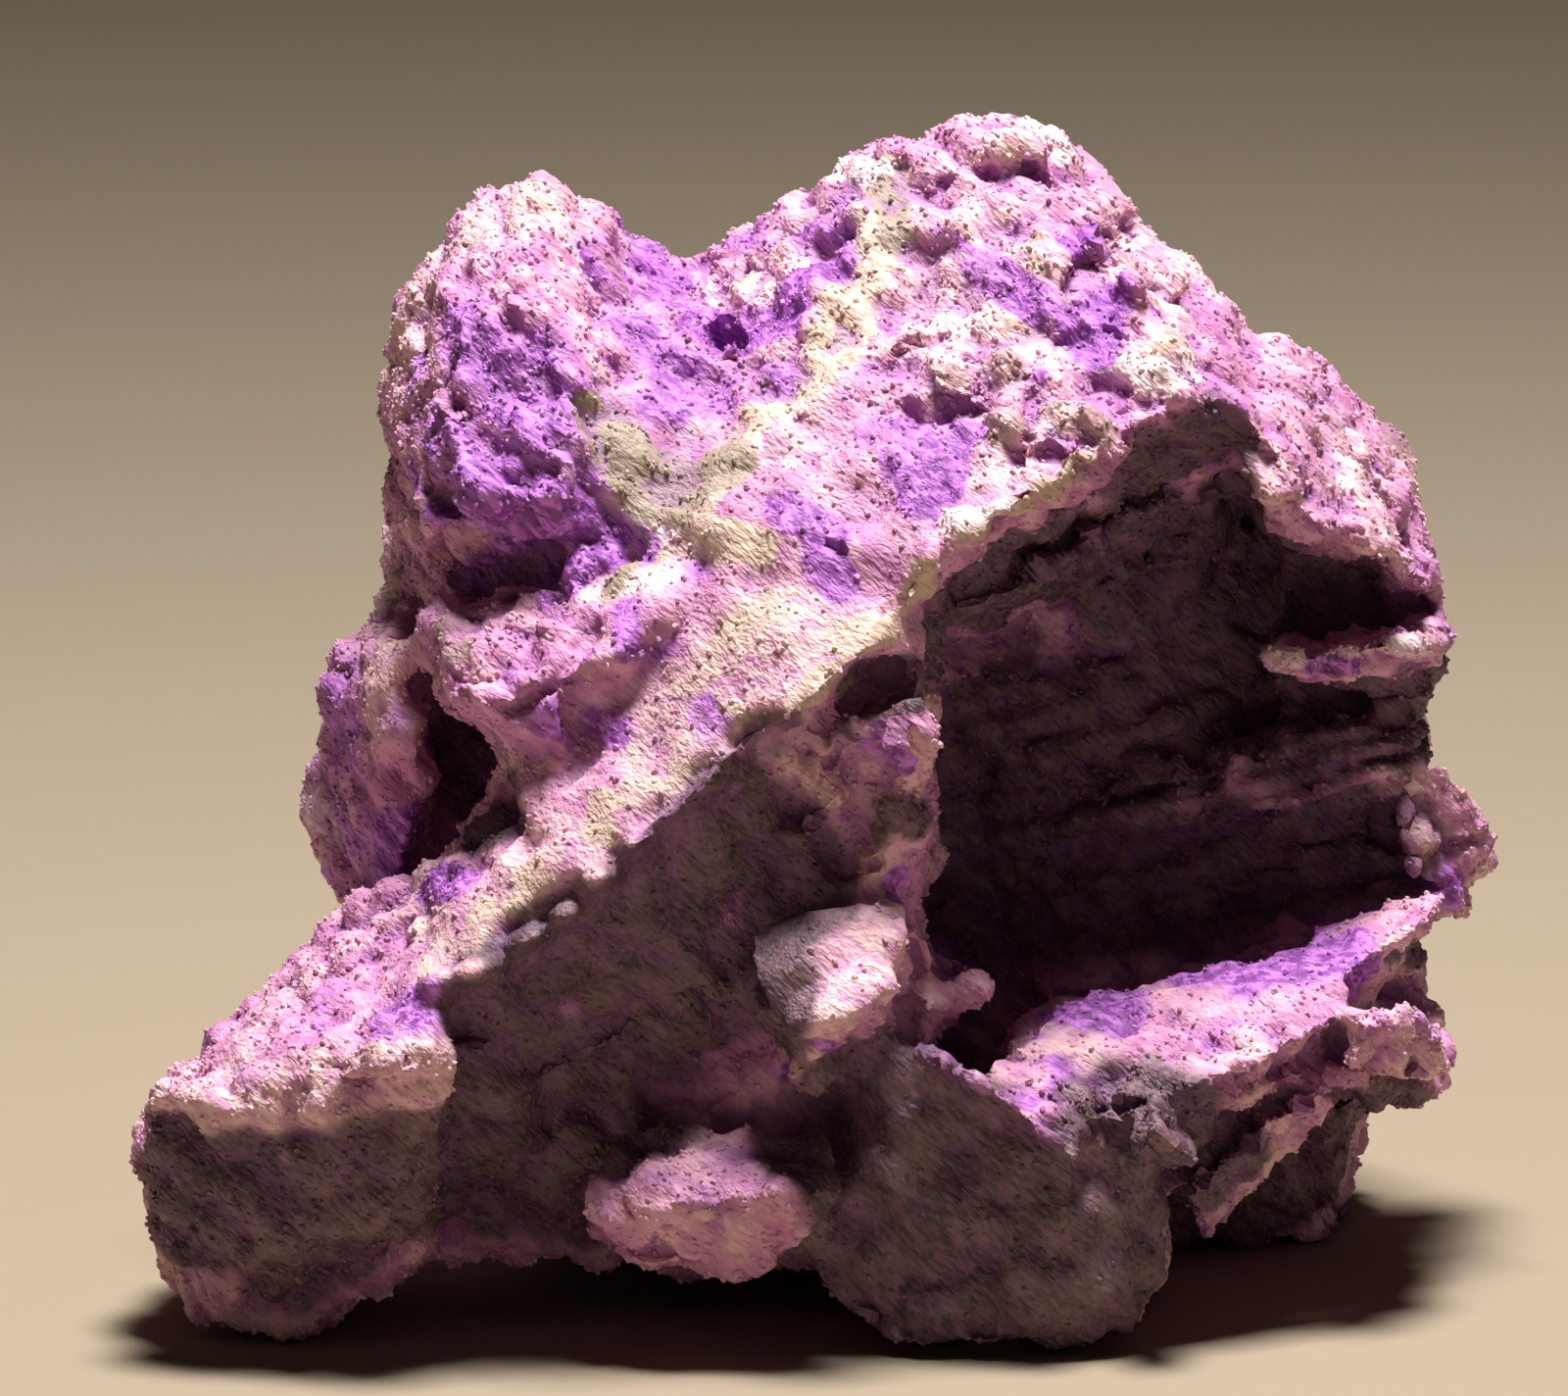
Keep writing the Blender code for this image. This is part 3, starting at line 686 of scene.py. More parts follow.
# %% Mineral strokes
VIOLET_STROKES = [
    ([(660, 240), (690, 300), (740, 345), (800, 320)], 4.5, 0.75), ([(700, 370), (680, 410)], 4, 0.7),
    ([(860, 200), (850, 260), (800, 300)], 3.6, 0.65), ([(740, 225), (780, 240)], 3.5, 0.5),
    ([(440, 440), (500, 470), (560, 510), (610, 545)], 3.8, 0.85), ([(560, 350), (600, 400)], 3.5, 0.6),
    ([(470, 330), (440, 380)], 3.5, 0.5), ([(560, 600), (600, 570), (650, 560)], 2.6, 0.9),
    ([(520, 560), (480, 590)], 3.2, 0.7), ([(640, 625), (640, 660)], 2.0, 0.8), ([(590, 660)], 2.4, 0.7),
    ([(600, 740), (625, 745)], 2.6, 0.8), ([(560, 740)], 3.4, 0.8), ([(670, 665), (690, 660)], 2.4, 0.6),
    ([(710, 590)], 2.2, 0.5), ([(715, 725), (730, 745)], 2.6, 0.6), ([(800, 520), (845, 545)], 2.8, 0.8),
    ([(840, 570), (858, 595)], 2.8, 0.75), ([(940, 505), (960, 490), (920, 470)], 3.2, 0.8),
    ([(780, 690)], 1.8, 0.5), ([(1000, 270), (1040, 300), (1060, 310)], 3.0, 0.7),
    ([(1105, 330), (1130, 300), (1120, 350)], 3.6, 0.8), ([(1095, 245), (1110, 230)], 2.6, 0.8),
    ([(960, 240), (975, 250)], 1.8, 0.6), ([(1040, 235)], 2.0, 0.5), ([(1090, 175)], 2.4, 0.5),
    ([(930, 430), (960, 450), (985, 435)], 2.4, 0.9), ([(1180, 315)], 1.6, 0.8), ([(1060, 385)], 1.6, 0.7),
    ([(890, 380), (920, 370)], 3.0, 0.5), ([(1235, 380), (1260, 420)], 2.6, 0.5),
    ([(410, 850), (405, 880)], 4.0, 1.0), ([(350, 700), (360, 780), (345, 880)], 5.5, 0.55),
    ([(440, 900), (470, 900)], 3.0, 0.8), ([(390, 730), (430, 700)], 3.5, 0.45),
    ([(440, 1030), (400, 1040)], 4.0, 0.7), ([(330, 1010), (300, 1060)], 4.0, 0.4),
    ([(260, 1090), (400, 1010)], 3.0, 0.35), ([(520, 690)], 2.5, 0.5),
    ([(1040, 1140), (1070, 1165), (1090, 1185)], 3.0, 1.0), ([(1060, 1080), (1090, 1120)], 3.4, 0.7),
    ([(1130, 1060), (1230, 1040), (1320, 1010)], 4.5, 0.9),
    ([(1350, 970), (1420, 940), (1475, 915)], 4.0, 0.9),
    ([(850, 760), (890, 775), (920, 775)], 2.2, 1.0), ([(920, 905)], 2.6, 0.9), ([(900, 745)], 1.6, 0.8),
    ([(790, 1062), (850, 1075)], 1.8, 0.9), ([(815, 1095), (845, 1105)], 2.6, 0.95),
    ([(690, 1190), (760, 1200), (840, 1200)], 4.0, 0.9), ([(640, 1230), (720, 1260)], 3.0, 0.5),
    ([(1345, 680), (1395, 682)], 1.8, 0.8), ([(1340, 885), (1430, 878)], 2.2, 0.7),
    ([(1325, 560)], 2.2, 0.7),
    ([(620, 260), (650, 330), (720, 400), (790, 380)], 4.5, 0.6), ([(830, 230), (870, 210)], 4.0, 0.6),
    ([(460, 330), (540, 420), (600, 470)], 5.5, 0.65), ([(420, 380), (440, 460)], 4.5, 0.55),
    ([(420, 500), (480, 520), (560, 560)], 4.5, 0.7),
    ([(340, 680), (350, 780), (380, 880)], 7.0, 0.55), ([(1120, 1050), (1240, 1030), (1350, 990)], 7.0, 1.0),
    ([(1140, 1090), (1250, 1070), (1330, 1040)], 3.5, 0.5), ([(960, 470), (900, 440)], 4.0, 0.55),
    ([(1350, 400), (1400, 480)], 3.0, 0.35), ([(1440, 560)], 2.4, 0.35),
    ([(300, 1190), (380, 1200)], 3.5, 0.45),
    ([(1120, 930), (1260, 900)], 5, 0.5), ([(560, 1180), (620, 1130)], 4, 0.45),
]
TAN_STROKES = [
    ([(900, 180), (882, 260), (865, 330), (830, 375), (790, 405)], 3.2, 1.0),
    ([(790, 405), (750, 450), (700, 530), (640, 580)], 2.6, 0.95),
    ([(690, 280), (740, 300), (760, 275)], 2.2, 0.7), ([(620, 830), (680, 800), (660, 770)], 4.5, 0.5),
    ([(700, 690), (740, 660), (790, 620)], 3.4, 0.5), ([(860, 650), (900, 640), (945, 600)], 2.6, 0.7),
    ([(745, 730), (760, 760), (740, 780)], 2.4, 0.5),
    ([(850, 690), (820, 720)], 2.2, 0.7), ([(700, 545), (780, 560)], 2.6, 0.75), ([(945, 580)], 1.6, 1.0),
    ([(1065, 240)], 1.8, 0.8), ([(1058, 275)], 1.6, 0.8), ([(1040, 330)], 2.0, 0.5),
    ([(990, 530), (1050, 520), (1110, 480)], 2.6, 0.7), ([(1030, 150)], 3.0, 0.4),
    ([(560, 880), (500, 930), (450, 990)], 3.2, 0.5), ([(340, 640), (400, 600)], 4, 0.4),
    ([(1200, 350), (1130, 375)], 2.6, 0.6),
    ([(500, 240), (540, 200)], 4, 0.35),
]
GREEN_STROKES = [
    ([(610, 430), (650, 480), (700, 490), (740, 470)], 3.6, 1.0), ([(650, 505), (690, 520)], 2.2, 0.8),
    ([(905, 190), (915, 240)], 2.4, 0.7), ([(650, 555), (620, 600)], 1.6, 0.8), ([(870, 290)], 2.2, 0.4),
    ([(450, 640), (470, 660)], 2.4, 0.4), ([(480, 240), (420, 270)], 3.0, 0.3),
]
# These strokes lay the dark brown-grey matrix and also painted shade: the great hollow, the front plane
# under the eave, the foot and the arm's front are darkened where the light doesn't reach.
MATRIX_AND_SHADE_STROKES = [
    ([(1000, 620), (1200, 560), (1280, 640)], 15, 1.0), ([(1020, 780), (1200, 740), (1400, 720)], 12, 0.72),
    ([(1020, 920), (1200, 900), (1400, 860)], 10, 0.66), ([(1200, 470), (1280, 560)], 9, 1.0),
    ([(990, 590), (1100, 530), (1200, 460), (1250, 470)], 5, 1.0),
    ([(1360, 570), (1330, 600)], 6, 0.9), ([(560, 1050), (700, 950), (790, 860)], 8, 0.9),
    ([(520, 1150), (620, 1120), (760, 1020)], 9, 0.9),
    ([(480, 1060), (600, 960), (720, 860), (800, 780)], 6, 0.9),
    ([(500, 1030), (620, 950), (740, 860)], 7, 0.9),
    ([(540, 1120), (660, 1060), (780, 980), (830, 890)], 7, 0.9),
    ([(470, 1110), (560, 1180)], 8, 0.8), ([(460, 1220), (580, 1250)], 6, 0.6),
    ([(860, 1090), (900, 1180)], 6, 0.8), ([(880, 700), (902, 704), (925, 700)], 3.6, 1.0),
    ([(850, 742)], 2.2, 0.9), ([(850, 770), (885, 810), (880, 860)], 3.6, 0.75),
    ([(890, 830), (935, 835)], 3.2, 0.6), ([(180, 1230), (300, 1250), (430, 1190)], 8, 0.8),
    ([(1240, 1180), (1300, 1220), (1400, 1200)], 7, 0.8),
    ([(900, 1160), (1000, 1250), (1120, 1280), (1160, 1200)], 13, 1.0),
    ([(850, 1300), (1100, 1350)], 9, 1.0),
    ([(200, 1180), (300, 1200), (420, 1180)], 8, 0.75), ([(420, 1240), (300, 1300)], 7, 0.6),
    ([(1240, 1240), (1380, 1180)], 9, 0.9), ([(480, 760), (500, 830)], 6, 0.7),
    ([(1370, 960), (1450, 970)], 2.6, 0.7), ([(1440, 820), (1520, 850)], 3.0, 0.3),
]
PALE_STROKES = [
    ([(1130, 375), (1190, 385), (1215, 370)], 2.2, 1.0), ([(965, 530), (1040, 515)], 1.6, 0.9),
    ([(860, 175), (890, 180)], 2.4, 0.7), ([(1060, 120), (1080, 150)], 3.0, 0.6),
    ([(480, 1062)], 2.0, 0.6), ([(1005, 975)], 1.0, 1.0),
    ([(600, 600), (680, 590)], 2.0, 0.45), ([(610, 520), (680, 535)], 2.2, 0.7),
    ([(320, 820), (310, 850)], 2.6, 0.8), ([(1300, 670), (1450, 660)], 1.8, 0.6),
    ([(640, 900), (560, 950)], 2.4, 0.5), ([(1000, 330), (950, 310)], 2.6, 0.5),
]
GLASS_PLACES = [(1026, 378), (965, 392), (1026, 438), (1075, 425), (1120, 434)]
GLASS_STROKES = [([place], 2.6, 1.0) for place in GLASS_PLACES]
print(len(VIOLET_STROKES), "violet strokes are the most of any mineral")

# %% Laying the minerals on
MINERAL_SPREAD = 1.3
MINERALS = {
    "violet": VIOLET_STROKES,
    "tan": TAN_STROKES,
    "green": GREEN_STROKES,
    "matrix": MATRIX_AND_SHADE_STROKES,
    "pale": PALE_STROKES,
    "glass": GLASS_STROKES,
    "smooth": SMOOTH_STROKES,
}


def keep(piece, name, weights):
    """Keeps a value for each vertex as an attribute that materials can read."""
    layer = piece.data.attributes.new(name, "FLOAT", "POINT")
    layer.data.foreach_set("value", weights.astype(np.float32))


amounts = {mineral: stroked(body, strokes, MINERAL_SPREAD) for mineral, strokes in MINERALS.items()}
for mineral, amount in amounts.items():
    keep(body, mineral, amount)
    print(mineral, "covers", round(float((amount > COUNTS_FROM).mean()), 3), "of the skin")
smooth_amount, matrix_and_shade_amount = amounts["smooth"], amounts["matrix"]

# %% Where the picture says nothing
WILD_FROM, WILD_TO = -15.0, 20.0
HALF_WILD = 0.5

depth = places_of(body)[:, 1] / MM
wild = np.clip((depth - WILD_FROM) / (WILD_TO - WILD_FROM), 0, 1)
keep(body, "wild", wild)
print("the wild part is", round(float((wild > HALF_WILD).mean()), 3), "of the skin")

# %% [markdown]
# ## The hollows between the grains
# The hollows are darkened towards violet further on, as painted shade. A hollow is found by
# smoothing: a vertex that a smoothed skin would pass above lies in a hollow. Blender's dirty vertex
# colours do nearly the same, but their result is stretched so far that soft hollows can't be told apart.

# %% Depth below the smoothed skin
SMOOTHINGS = 10


def hollowness(piece, rounds):
    """How many millimetres each vertex lies below the smoothed skin."""
    co = places_of(piece)
    count = len(co)
    ends = np.empty(len(piece.data.edges) * 2, dtype=np.int64)
    piece.data.edges.foreach_get("vertices", ends)
    ends = ends.reshape(-1, 2)
    here = np.concatenate((ends[:, 0], ends[:, 1]))
    there = np.concatenate((ends[:, 1], ends[:, 0]))
    neighbours = np.maximum(np.bincount(here, minlength=count), 1)
    smoothed = co.copy()
    for _ in range(rounds):
        sums = [np.bincount(here, smoothed[there, axis], count) for axis in range(3)]
        smoothed = np.stack(sums, axis=1) / neighbours[:, None]
    normals = np.empty(count * 3)
    piece.data.vertices.foreach_get("normal", normals)
    return np.sum((smoothed - co) * normals.reshape(-1, 3), axis=1) / MM


hollow = hollowness(body, SMOOTHINGS)
keep(body, "hollow", hollow)
print("the hollows reach", np.round(np.percentile(hollow, (5, 50, 75, 90, 97)), 2), "mm")

# %% [markdown]
# ## The material
# One material serves the skin and the grains. Its colour starts as sugar pink, and each mineral
# is mixed over it by its attribute. A fine noise is added to every attribute before it is used,
# so that no border is a clean line. All coordinates are the piece's own, never the camera's.

# %% Small helpers for a node tree
stone_paint = bpy.data.materials.new("sugilite")
stone_paint.use_nodes = True
paint_tree = stone_paint.node_tree
shader = paint_tree.nodes["Principled BSDF"]


def plug(tree, node, values):
    """Gives a node its inputs: another node's socket is linked, and anything else is set."""
    for name, value in values.items():
        if isinstance(value, bpy.types.NodeSocket):
            tree.links.new(value, node.inputs[name])
        else:
            node.inputs[name].default_value = value


def add_node(tree, kind, values=None, **settings):
    """Adds a node with these inputs and settings, and gives back its outputs."""
    made = tree.nodes.new(kind)
    for setting, value in settings.items():
        setattr(made, setting, value)
    plug(tree, made, values or {})
    return made.outputs


def attribute(name):
    """The value that the piece keeps for each vertex under this name."""
    return add_node(paint_tree, "ShaderNodeAttribute", attribute_name=name)["Fac"]


def combine(kind, first, second):
    """One step of arithmetic; each side is a socket or a number."""
    return add_node(paint_tree, "ShaderNodeMath", {0: first, 1: second}, operation=kind)[0]


def ramp(value, low, high):
    """Spreads the span from low to high over 0 to 1, with soft ends."""
    span = {"Value": value, "From Min": low, "From Max": high}
    return add_node(paint_tree, "ShaderNodeMapRange", span, interpolation_type="SMOOTHSTEP")["Result"]


def mixed(amount, under, over):
    """Lays one colour over another by an amount; each colour is a socket or three numbers."""
    under, over = ((*side, 1) if isinstance(side, tuple) else side for side in (under, over))
    return add_node(paint_tree, "ShaderNodeMix", {0: amount, 6: under, 7: over}, data_type="RGBA")[2]


print("the empty material has", len(paint_tree.nodes), "nodes")

# %% [markdown]
# ## Noises
# The colour changes at several scales: broad patches, blotches as wide as a finger, a mottle, single
# flecks and the sparkle of the sugar. One noise for each scale is used in many places, so that
# colours change together, as they do in rock. The small ones are drawn out along the slant.

# %% Noises
FIBRE_STRETCH = 3.0
NOISE_ROUGHNESS = 0.55

coordinates = add_node(paint_tree, "ShaderNodeTexCoord")["Object"]
slant_of_paint = {
    "Vector": coordinates,
    "Rotation": (0, math.radians(SLANT_ANGLE), 0),
    "Scale": (FIBRE_STRETCH, 1, 1),
}
slanted = add_node(paint_tree, "ShaderNodeMapping", slant_of_paint, vector_type="TEXTURE")["Vector"]


def noise(size, detail, fibrous=True):
    """A noise whose blobs are about this many millimetres across."""
    values = {
        "Vector": slanted if fibrous else coordinates,
        "Scale": 1 / (size * MM),
        "Detail": detail,
        "Roughness": NOISE_ROUGHNESS,
    }
    return add_node(paint_tree, "ShaderNodeTexNoise", values)["Fac"]


patches = noise(16, 3, fibrous=False)
blotch = noise(7, 4, fibrous=False)
mottle = noise(3.0, 4)
fleck = noise(1.1, 3)
sugar = noise(0.5, 2)
print("the noises are 16, 7, 3, 1.1 and 0.5 mm across")

# %% [markdown]
# ## Colours
# Each colour below was judged against the picture, place by place, in this scene's light. A mineral's
# border is the place where its attribute, roughened by the noises, passes a threshold: the three
# numbers for each mineral say how far the noises push the border, and where it starts and is full.
# On the back, where nothing is known, a slow noise for each mineral does the same.

# %% Colours and borders
SUGAR_PINK, DEEP_PINK, CREAM = (0.79, 0.41, 0.56), (0.49, 0.18, 0.39), (0.84, 0.57, 0.55)
MAGENTA, VIOLET = (0.62, 0.21, 0.78), (0.20, 0.03, 0.30)
TAN, GREEN = (0.66, 0.50, 0.38), (0.33, 0.28, 0.19)
# The two browns colour the matrix; on the front their darkness also stands in for painted shade.
BROWN, DARK_BROWN_AND_SHADE = (0.15, 0.095, 0.095), (0.05, 0.03, 0.034)
GLASS = (0.50, 0.33, 0.32)
WHITE = (0.86, 0.68, 0.70)

BORDERS = {
    "tan": (0.55, 0.25, 0.60),
    "pale": (0.55, 0.25, 0.55),
    "violet": (0.55, 0.30, 0.70),
    "green": (0.55, 0.25, 0.60),
    "matrix": (0.35, 0.25, 0.60),
    "glass": (0.20, 0.30, 0.60),
}
WILD_PATCHES = {  # size in millimetres, detail, start and full
    "violet": (13, 4, 0.52, 0.60),
    "tan": (19, 4, 0.56, 0.62),
    "matrix": (24, 5, 0.54, 0.60),
}
BLOTCH_SHARE, MOTTLE_SHARE, FLECK_SHARE = 0.45, 0.35, 0.2
BORDER_PUSH = 3.6
GATE_TO = 0.30

wild_amount = attribute("wild")


def amount_of(name):
    """A mineral's attribute, with its border broken by the blotches, the mottle and the flecks."""
    spread, low, high = BORDERS[name]
    blotched = combine("MULTIPLY", blotch, BLOTCH_SHARE)
    coarse = combine("ADD", blotched, combine("MULTIPLY", mottle, MOTTLE_SHARE))
    rough = combine("ADD", coarse, combine("MULTIPLY", fleck, FLECK_SHARE))
    push = combine("MULTIPLY", combine("SUBTRACT", rough, 0.5), BORDER_PUSH * spread)
    broken = combine("ADD", attribute(name), push)
    gate = ramp(attribute(name), 0.0, GATE_TO)
    return combine("MULTIPLY", ramp(broken, low, high), gate)


def wild_amount_of(name):
    """The same mineral where the picture says nothing, in patches of a slow noise."""
    size, detail, low, high = WILD_PATCHES[name]
    return combine("MULTIPLY", wild_amount, ramp(noise(size, detail, fibrous=False), low, high))


print(len(BORDERS), "minerals have borders, and", len(WILD_PATCHES), "have patches at the back")

# %% Laying the minerals over one another
PINK_SPAN, CREAM_SPAN, CREAM_FLECKS = (0.38, 0.66), (0.46, 0.60), (0.30, 0.62)
VIOLET_SPAN, BROWN_SPAN = (0.42, 0.62), (0.40, 0.64)

pinks = mixed(ramp(mottle, *PINK_SPAN), DEEP_PINK, SUGAR_PINK)
creamy = combine("MULTIPLY", ramp(patches, *CREAM_SPAN), ramp(fleck, *CREAM_FLECKS))
pinks = mixed(creamy, pinks, CREAM)
colour = mixed(amount_of("tan"), pinks, TAN)
colour = mixed(amount_of("pale"), colour, WHITE)
violets = mixed(ramp(fleck, *VIOLET_SPAN), VIOLET, MAGENTA)
colour = mixed(wild_amount_of("tan"), colour, TAN)
colour = mixed(combine("MAXIMUM", amount_of("violet"), wild_amount_of("violet")), colour, violets)
colour = mixed(amount_of("green"), colour, GREEN)
# The browns of the matrix, which also lay painted shade on the front.
browns = mixed(ramp(mottle, *BROWN_SPAN), DARK_BROWN_AND_SHADE, BROWN)
colour = mixed(combine("MAXIMUM", amount_of("matrix"), wild_amount_of("matrix")), colour, browns)
colour = mixed(amount_of("glass"), colour, GLASS)
print("the minerals take", len(paint_tree.nodes), "nodes")

# %% [markdown]
# ## Painted shade in the creases and painted highlights on the grains
# The hollows found above get painted shade: their colour is darkened towards violet, less so on
# smooth or brown rock. Each grain also has a random tint of its own, which lifts it towards white
# as a painted highlight. Light painted into the colour would be wrong under any other lamp, so both
# effects are kept small.

# %% Creases and single grains
CREASE_JITTER = 0.3
CREASE_FROM, CREASE_TO = 0.05, 0.42
CALM_SHARE = 0.8
# The first of these numbers is the strength of the painted shade in the hollows, the last that of the
# painted highlight on single grains.
CREASE_SHADE, SUGAR_STAIN, GRAIN_LIGHT = 0.55, 0.25, 0.24
SUGAR_SPAN = (0.70, 0.30)

jitter = combine("MULTIPLY", combine("SUBTRACT", fleck, 0.5), CREASE_JITTER)
crease = ramp(combine("ADD", attribute("hollow"), jitter), CREASE_FROM, CREASE_TO)
calm = combine("MAXIMUM", attribute("matrix"), combine("MULTIPLY", attribute("smooth"), CALM_SHARE))
crease_shade_kept = combine("SUBTRACT", 1.0, combine("MULTIPLY", calm, CALM_SHARE))
# Painted shade: the hollows are darkened towards violet, less on smooth and brown rock.
crease_shade = combine("MULTIPLY", combine("MULTIPLY", crease, crease_shade_kept), CREASE_SHADE)
colour = mixed(crease_shade, colour, VIOLET)
dimmed = mixed(combine("MULTIPLY", ramp(sugar, *SUGAR_SPAN), SUGAR_STAIN), colour, DEEP_PINK)
# Painted highlight: each grain's random tint lifts it towards white, but not on the brown.
lit_grain = combine("MULTIPLY", attribute("tint"), combine("SUBTRACT", 1.0, attribute("matrix")))
crisp = mixed(combine("MULTIPLY", lit_grain, GRAIN_LIGHT), dimmed, WHITE)
plug(paint_tree, shader, {"Base Color": crisp})
print("the material has", len(paint_tree.nodes), "nodes")

# %% [markdown]
# ## Gloss and fine relief
# Broken sugilite is dull with a fine sparkle, and its few glassy crystals are smoother. The sugar
# noise varies the roughness, so that neighbouring grains shine differently. Relief finer than the
# skin's triangles is left to a bump of half a millimetre at most.

# %% Gloss and fine relief
ROUGHNESS_LEAST, ROUGHNESS_SPREAD, GLASS_POLISH = 0.36, 0.5, 0.3
STONE_IOR = 1.55
BUMP_STRENGTH, BUMP_HEIGHT, BUMP_FLECKS = 0.8, 0.5, 0.8

dull = combine("ADD", combine("MULTIPLY", sugar, ROUGHNESS_SPREAD), ROUGHNESS_LEAST)
glossy = combine("SUBTRACT", dull, combine("MULTIPLY", attribute("glass"), GLASS_POLISH))
height = combine("ADD", sugar, combine("MULTIPLY", fleck, BUMP_FLECKS))
relief = {"Strength": BUMP_STRENGTH, "Distance": BUMP_HEIGHT * MM, "Height": height}
bump = add_node(paint_tree, "ShaderNodeBump", relief)
plug(paint_tree, shader, {"Roughness": glossy, "IOR": STONE_IOR, "Normal": bump["Normal"]})
body.data.materials.append(stone_paint)
print("the relief in the material is", BUMP_HEIGHT, "mm high at most")

# %% [markdown]
# ## Sugar grains
# Massive sugilite breaks with a sugary surface: thousands of tiny angular grains that catch the
# light one by one. Bump alone can't break the outline or throw small shadows, so real grains are
# scattered over the skin by Geometry Nodes and then made real, because instances don't travel
# with an exported part. Each grain is a five-sided double cone of ten triangles. Each batch has
# its own shape and stays under the count that one piece may have.

# %% How thickly the sugar lies
FLOOR_GAP = 0.6
LESS_IF_SMOOTH, LESS_IF_MATRIX_AND_SHADE, LESS_IF_WILD = 0.75, 0.35, 0.3
THINNEST = 0.1

lie = 1.0 - LESS_IF_SMOOTH * smooth_amount - LESS_IF_MATRIX_AND_SHADE * matrix_and_shade_amount - LESS_IF_WILD * wild
lie = np.clip(lie, THINNEST, 1.0)
lie[places_of(body)[:, 2] < FLOOR_GAP * MM] = 0
keep(body, "sugar", lie)
print("the sugar's mean thickness is", round(float(lie.mean()), 2))

# %% The scattering nodes
GRAIN_RADIUS = 0.25
GRAIN_LEAST, GRAIN_MOST = 0.45, 1.35
GRAIN_TURN = (math.radians(50), math.radians(28), math.radians(50))
SLANT = math.radians(SLANT_ANGLE)
TURN_DRAW, SIZE_DRAW, TINT_DRAW = 10, 20, 30


def scatter(grain, seed, density):
    """A node group that scatters one grain shape over the body."""
    tree = bpy.data.node_groups.new(f"scatter_{seed}", "GeometryNodeTree")
    tree.interface.new_socket("Geometry", in_out="OUTPUT", socket_type="NodeSocketGeometry")

    def add(kind, values, **settings):
        """Adds one of the geometry nodes."""
        return add_node(tree, f"GeometryNode{kind}", values, **settings)

    def draw(values, seed, kind):
        """A random value for each grain, between the two that are given."""
        values = {**values, "Seed": seed}
        return add_node(tree, "FunctionNodeRandomValue", values, data_type=kind)

    skin = add("ObjectInfo", {"Object": body})["Geometry"]
    shape = add("ObjectInfo", {"Object": grain})["Geometry"]
    cover = add("InputNamedAttribute", {"Name": "sugar"}, data_type="FLOAT")["Attribute"]
    crowd = add_node(tree, "ShaderNodeMath", {0: cover, 1: density}, operation="MULTIPLY")[0]
    points = add("DistributePointsOnFaces", {"Mesh": skin, "Density": crowd, "Seed": seed})["Points"]
    turns = {
        0: (-GRAIN_TURN[0], SLANT - GRAIN_TURN[1], -GRAIN_TURN[2]),
        1: (GRAIN_TURN[0], SLANT + GRAIN_TURN[1], GRAIN_TURN[2]),
    }
    turn = draw(turns, seed + TURN_DRAW, "FLOAT_VECTOR")[0]
    radii = {2: GRAIN_LEAST * GRAIN_RADIUS * MM, 3: GRAIN_MOST * GRAIN_RADIUS * MM}
    size = draw(radii, seed + SIZE_DRAW, "FLOAT")[1]
    # A random tint per grain, which the material turns into a painted highlight on single grains.
    tint = draw({}, seed + TINT_DRAW, "FLOAT")[1]
    placing = {"Points": points, "Instance": shape, "Rotation": turn, "Scale": size}
    placed = add("InstanceOnPoints", placing)["Instances"]
    tinting = {"Geometry": placed, "Name": "tint", "Value": tint}
    tinted = add("StoreNamedAttribute", tinting, data_type="FLOAT", domain="INSTANCE")["Geometry"]
    real = add("RealizeInstances", {"Geometry": tinted})["Geometry"]
    add_node(tree, "NodeGroupOutput", {"Geometry": real})
    return tree


print("a grain is", GRAIN_RADIUS, "mm in radius, times", GRAIN_LEAST, "to", GRAIN_MOST)

# %% Scattering in batches
BATCHES = 5
DENSITY = 152000  # grains of one batch on a square metre of thickly covered skin
GRAIN_SIDES, GRAIN_SHAPE, GRAIN_ROUGHNESS = 5, (1.6, 1, 1), 0.35

sugars = []
for batch in range(BATCHES):
    bpy.ops.object.select_all(action="DESELECT")
    bpy.ops.mesh.primitive_uv_sphere_add(
        segments=GRAIN_SIDES, ring_count=2, radius=1, scale=GRAIN_SHAPE
    )
    grain = bpy.context.object
    edit(grain, bpy.ops.transform.vertex_random, offset=GRAIN_ROUGHNESS, seed=batch + 1)
    bpy.ops.mesh.primitive_plane_add(size=MM)
    sugar_piece = bpy.context.object
    sugar_piece.name = f"sugar_{batch + 1}"
    modify(sugar_piece, "NODES", node_group=scatter(grain, batch + 1, DENSITY))
    bpy.data.objects.remove(grain)
    sugar_piece.data.materials.clear()
    sugar_piece.data.materials.append(stone_paint)
    sugars.append(sugar_piece)
    print(sugar_piece.name, "has", triangles(sugar_piece), "triangles")

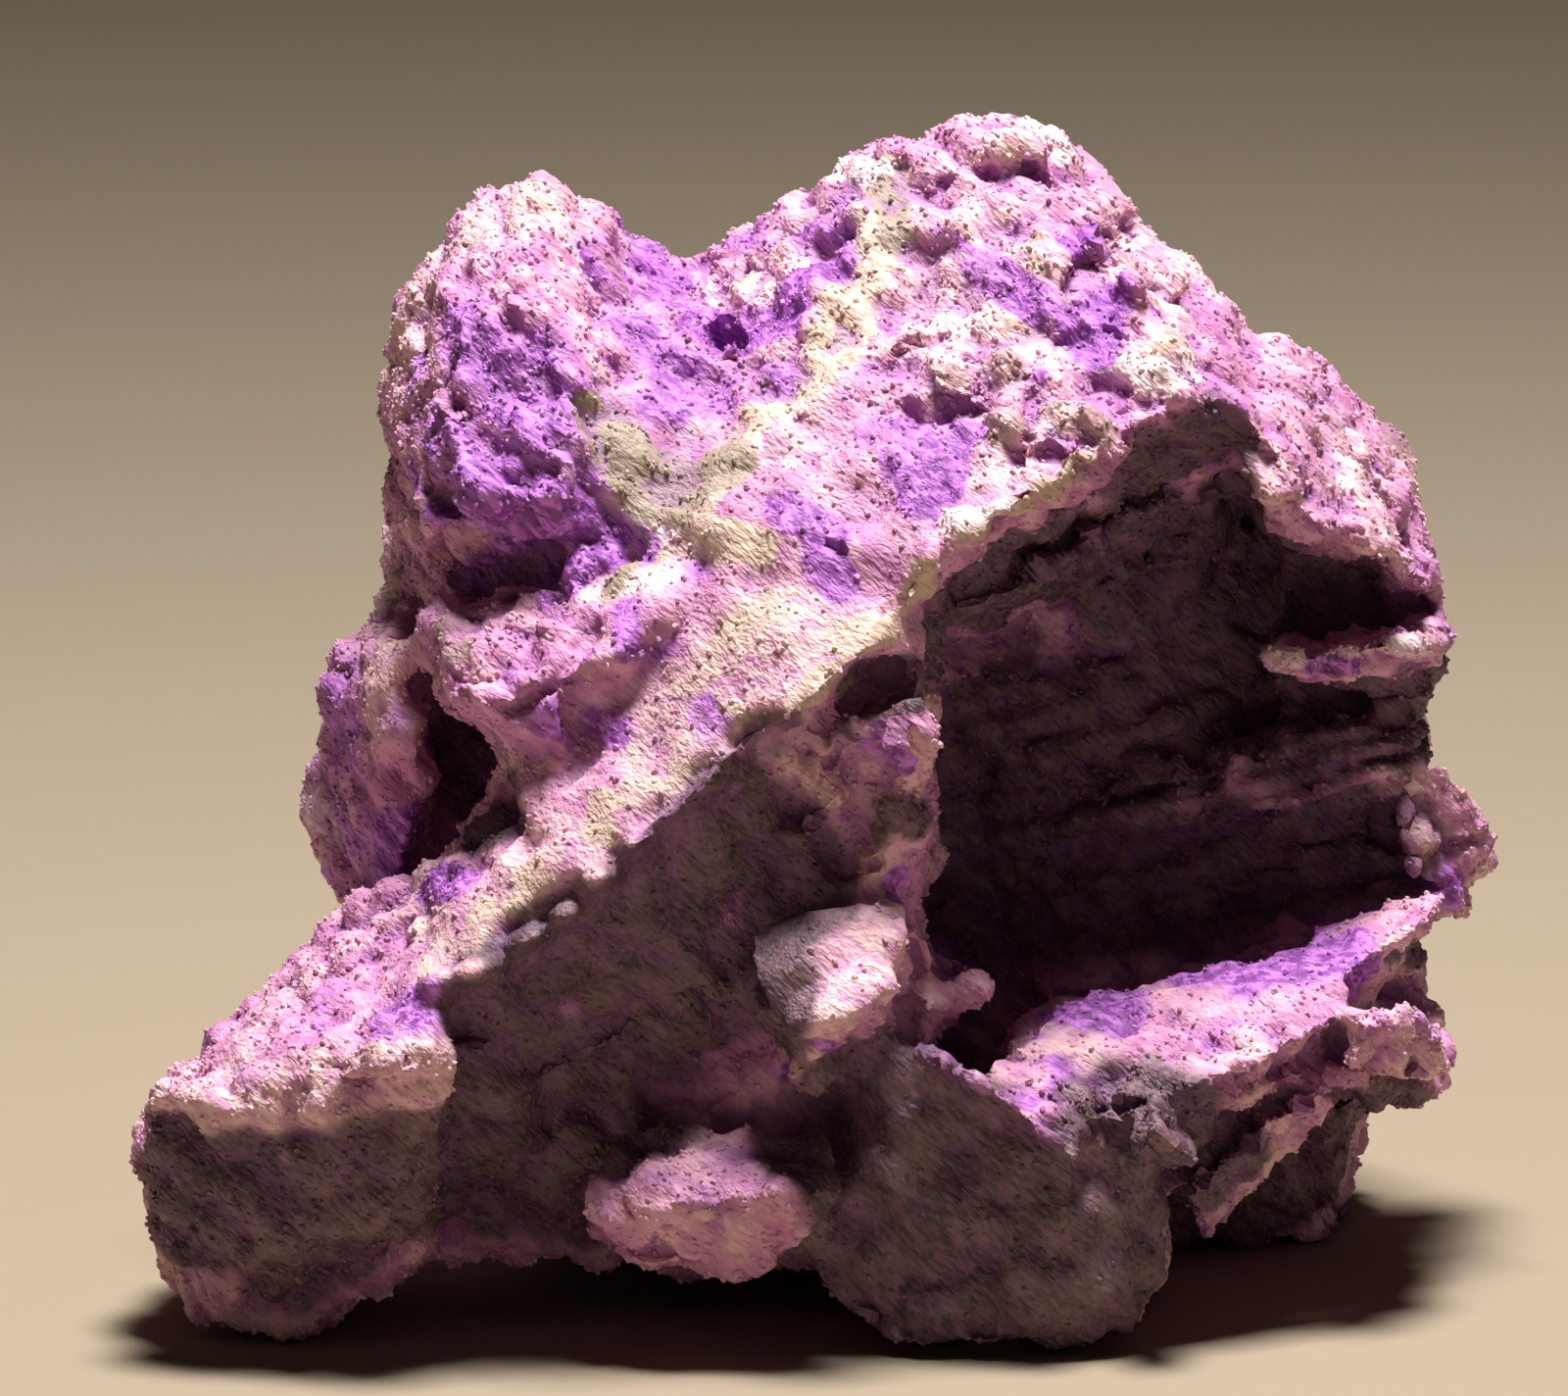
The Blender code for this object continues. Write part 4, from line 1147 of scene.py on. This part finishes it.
# %% [markdown]
# ## Light and floor
# The stone stands in a soft light from almost straight above, so its roof is bright and its
# hollows are nearly black. The pale floor throws a little light back on the undersides.

# %% Lights and floor
bpy.context.scene.view_settings.view_transform = "Standard"
FLOOR_COLOUR, FLOOR_SIZE, FLOOR_ROUGHNESS = (0.31, 0.25, 0.18), 8, 0.9
LIGHT_AIM = Vector((0, 0, 0.05))
LIGHTS = {  # place and size in metres, power in watts, colour
    "key": ((0.07, -0.11, 1.0), 0.26, 23.0, (1.0, 0.97, 0.93)),
    "front": ((0.42, -1.3, 0.22), 0.5, 0.16, (1.0, 0.90, 0.86)),
}
SKY, SKY_STRENGTH = (1.0, 0.93, 0.90), 0.020

bpy.ops.object.select_all(action="DESELECT")
bpy.ops.mesh.primitive_plane_add(size=FLOOR_SIZE)
floor = bpy.context.object
floor.name = "floor"
floor_paint = bpy.data.materials.new("floor")
floor_paint.use_nodes = True
floor_shader = floor_paint.node_tree.nodes["Principled BSDF"]
floor_shader.inputs["Base Color"].default_value = (*FLOOR_COLOUR, 1)
floor_shader.inputs["Roughness"].default_value = FLOOR_ROUGHNESS
floor.data.materials.append(floor_paint)

for name, (place, size, power, tint) in LIGHTS.items():
    bpy.ops.object.select_all(action="DESELECT")
    aim = LIGHT_AIM - Vector(place)
    lamp_turn = aim.to_track_quat("-Z", "Y").to_euler()
    bpy.ops.object.light_add(type="AREA", location=place, rotation=lamp_turn)
    lamp = bpy.context.object
    lamp.name = name
    lamp.data.size = size
    lamp.data.energy = power
    lamp.data.color = tint
world = bpy.data.worlds.new("studio")
bpy.context.scene.world = world
world.use_nodes = True
world.node_tree.nodes["Background"].inputs["Color"].default_value = (*SKY, 1)
world.node_tree.nodes["Background"].inputs["Strength"].default_value = SKY_STRENGTH
print(len(LIGHTS), "lights and a floor are set")

# %% [markdown]
# ## Handing over
# The skin and the grains stand where the solid stands, so each rides the same body and takes the
# solid's place. All six share one slot, because they are one mineral with one finish.

# %% Handing over
for piece in [body, *sugars]:
    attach(piece, "root")
    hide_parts("stone")
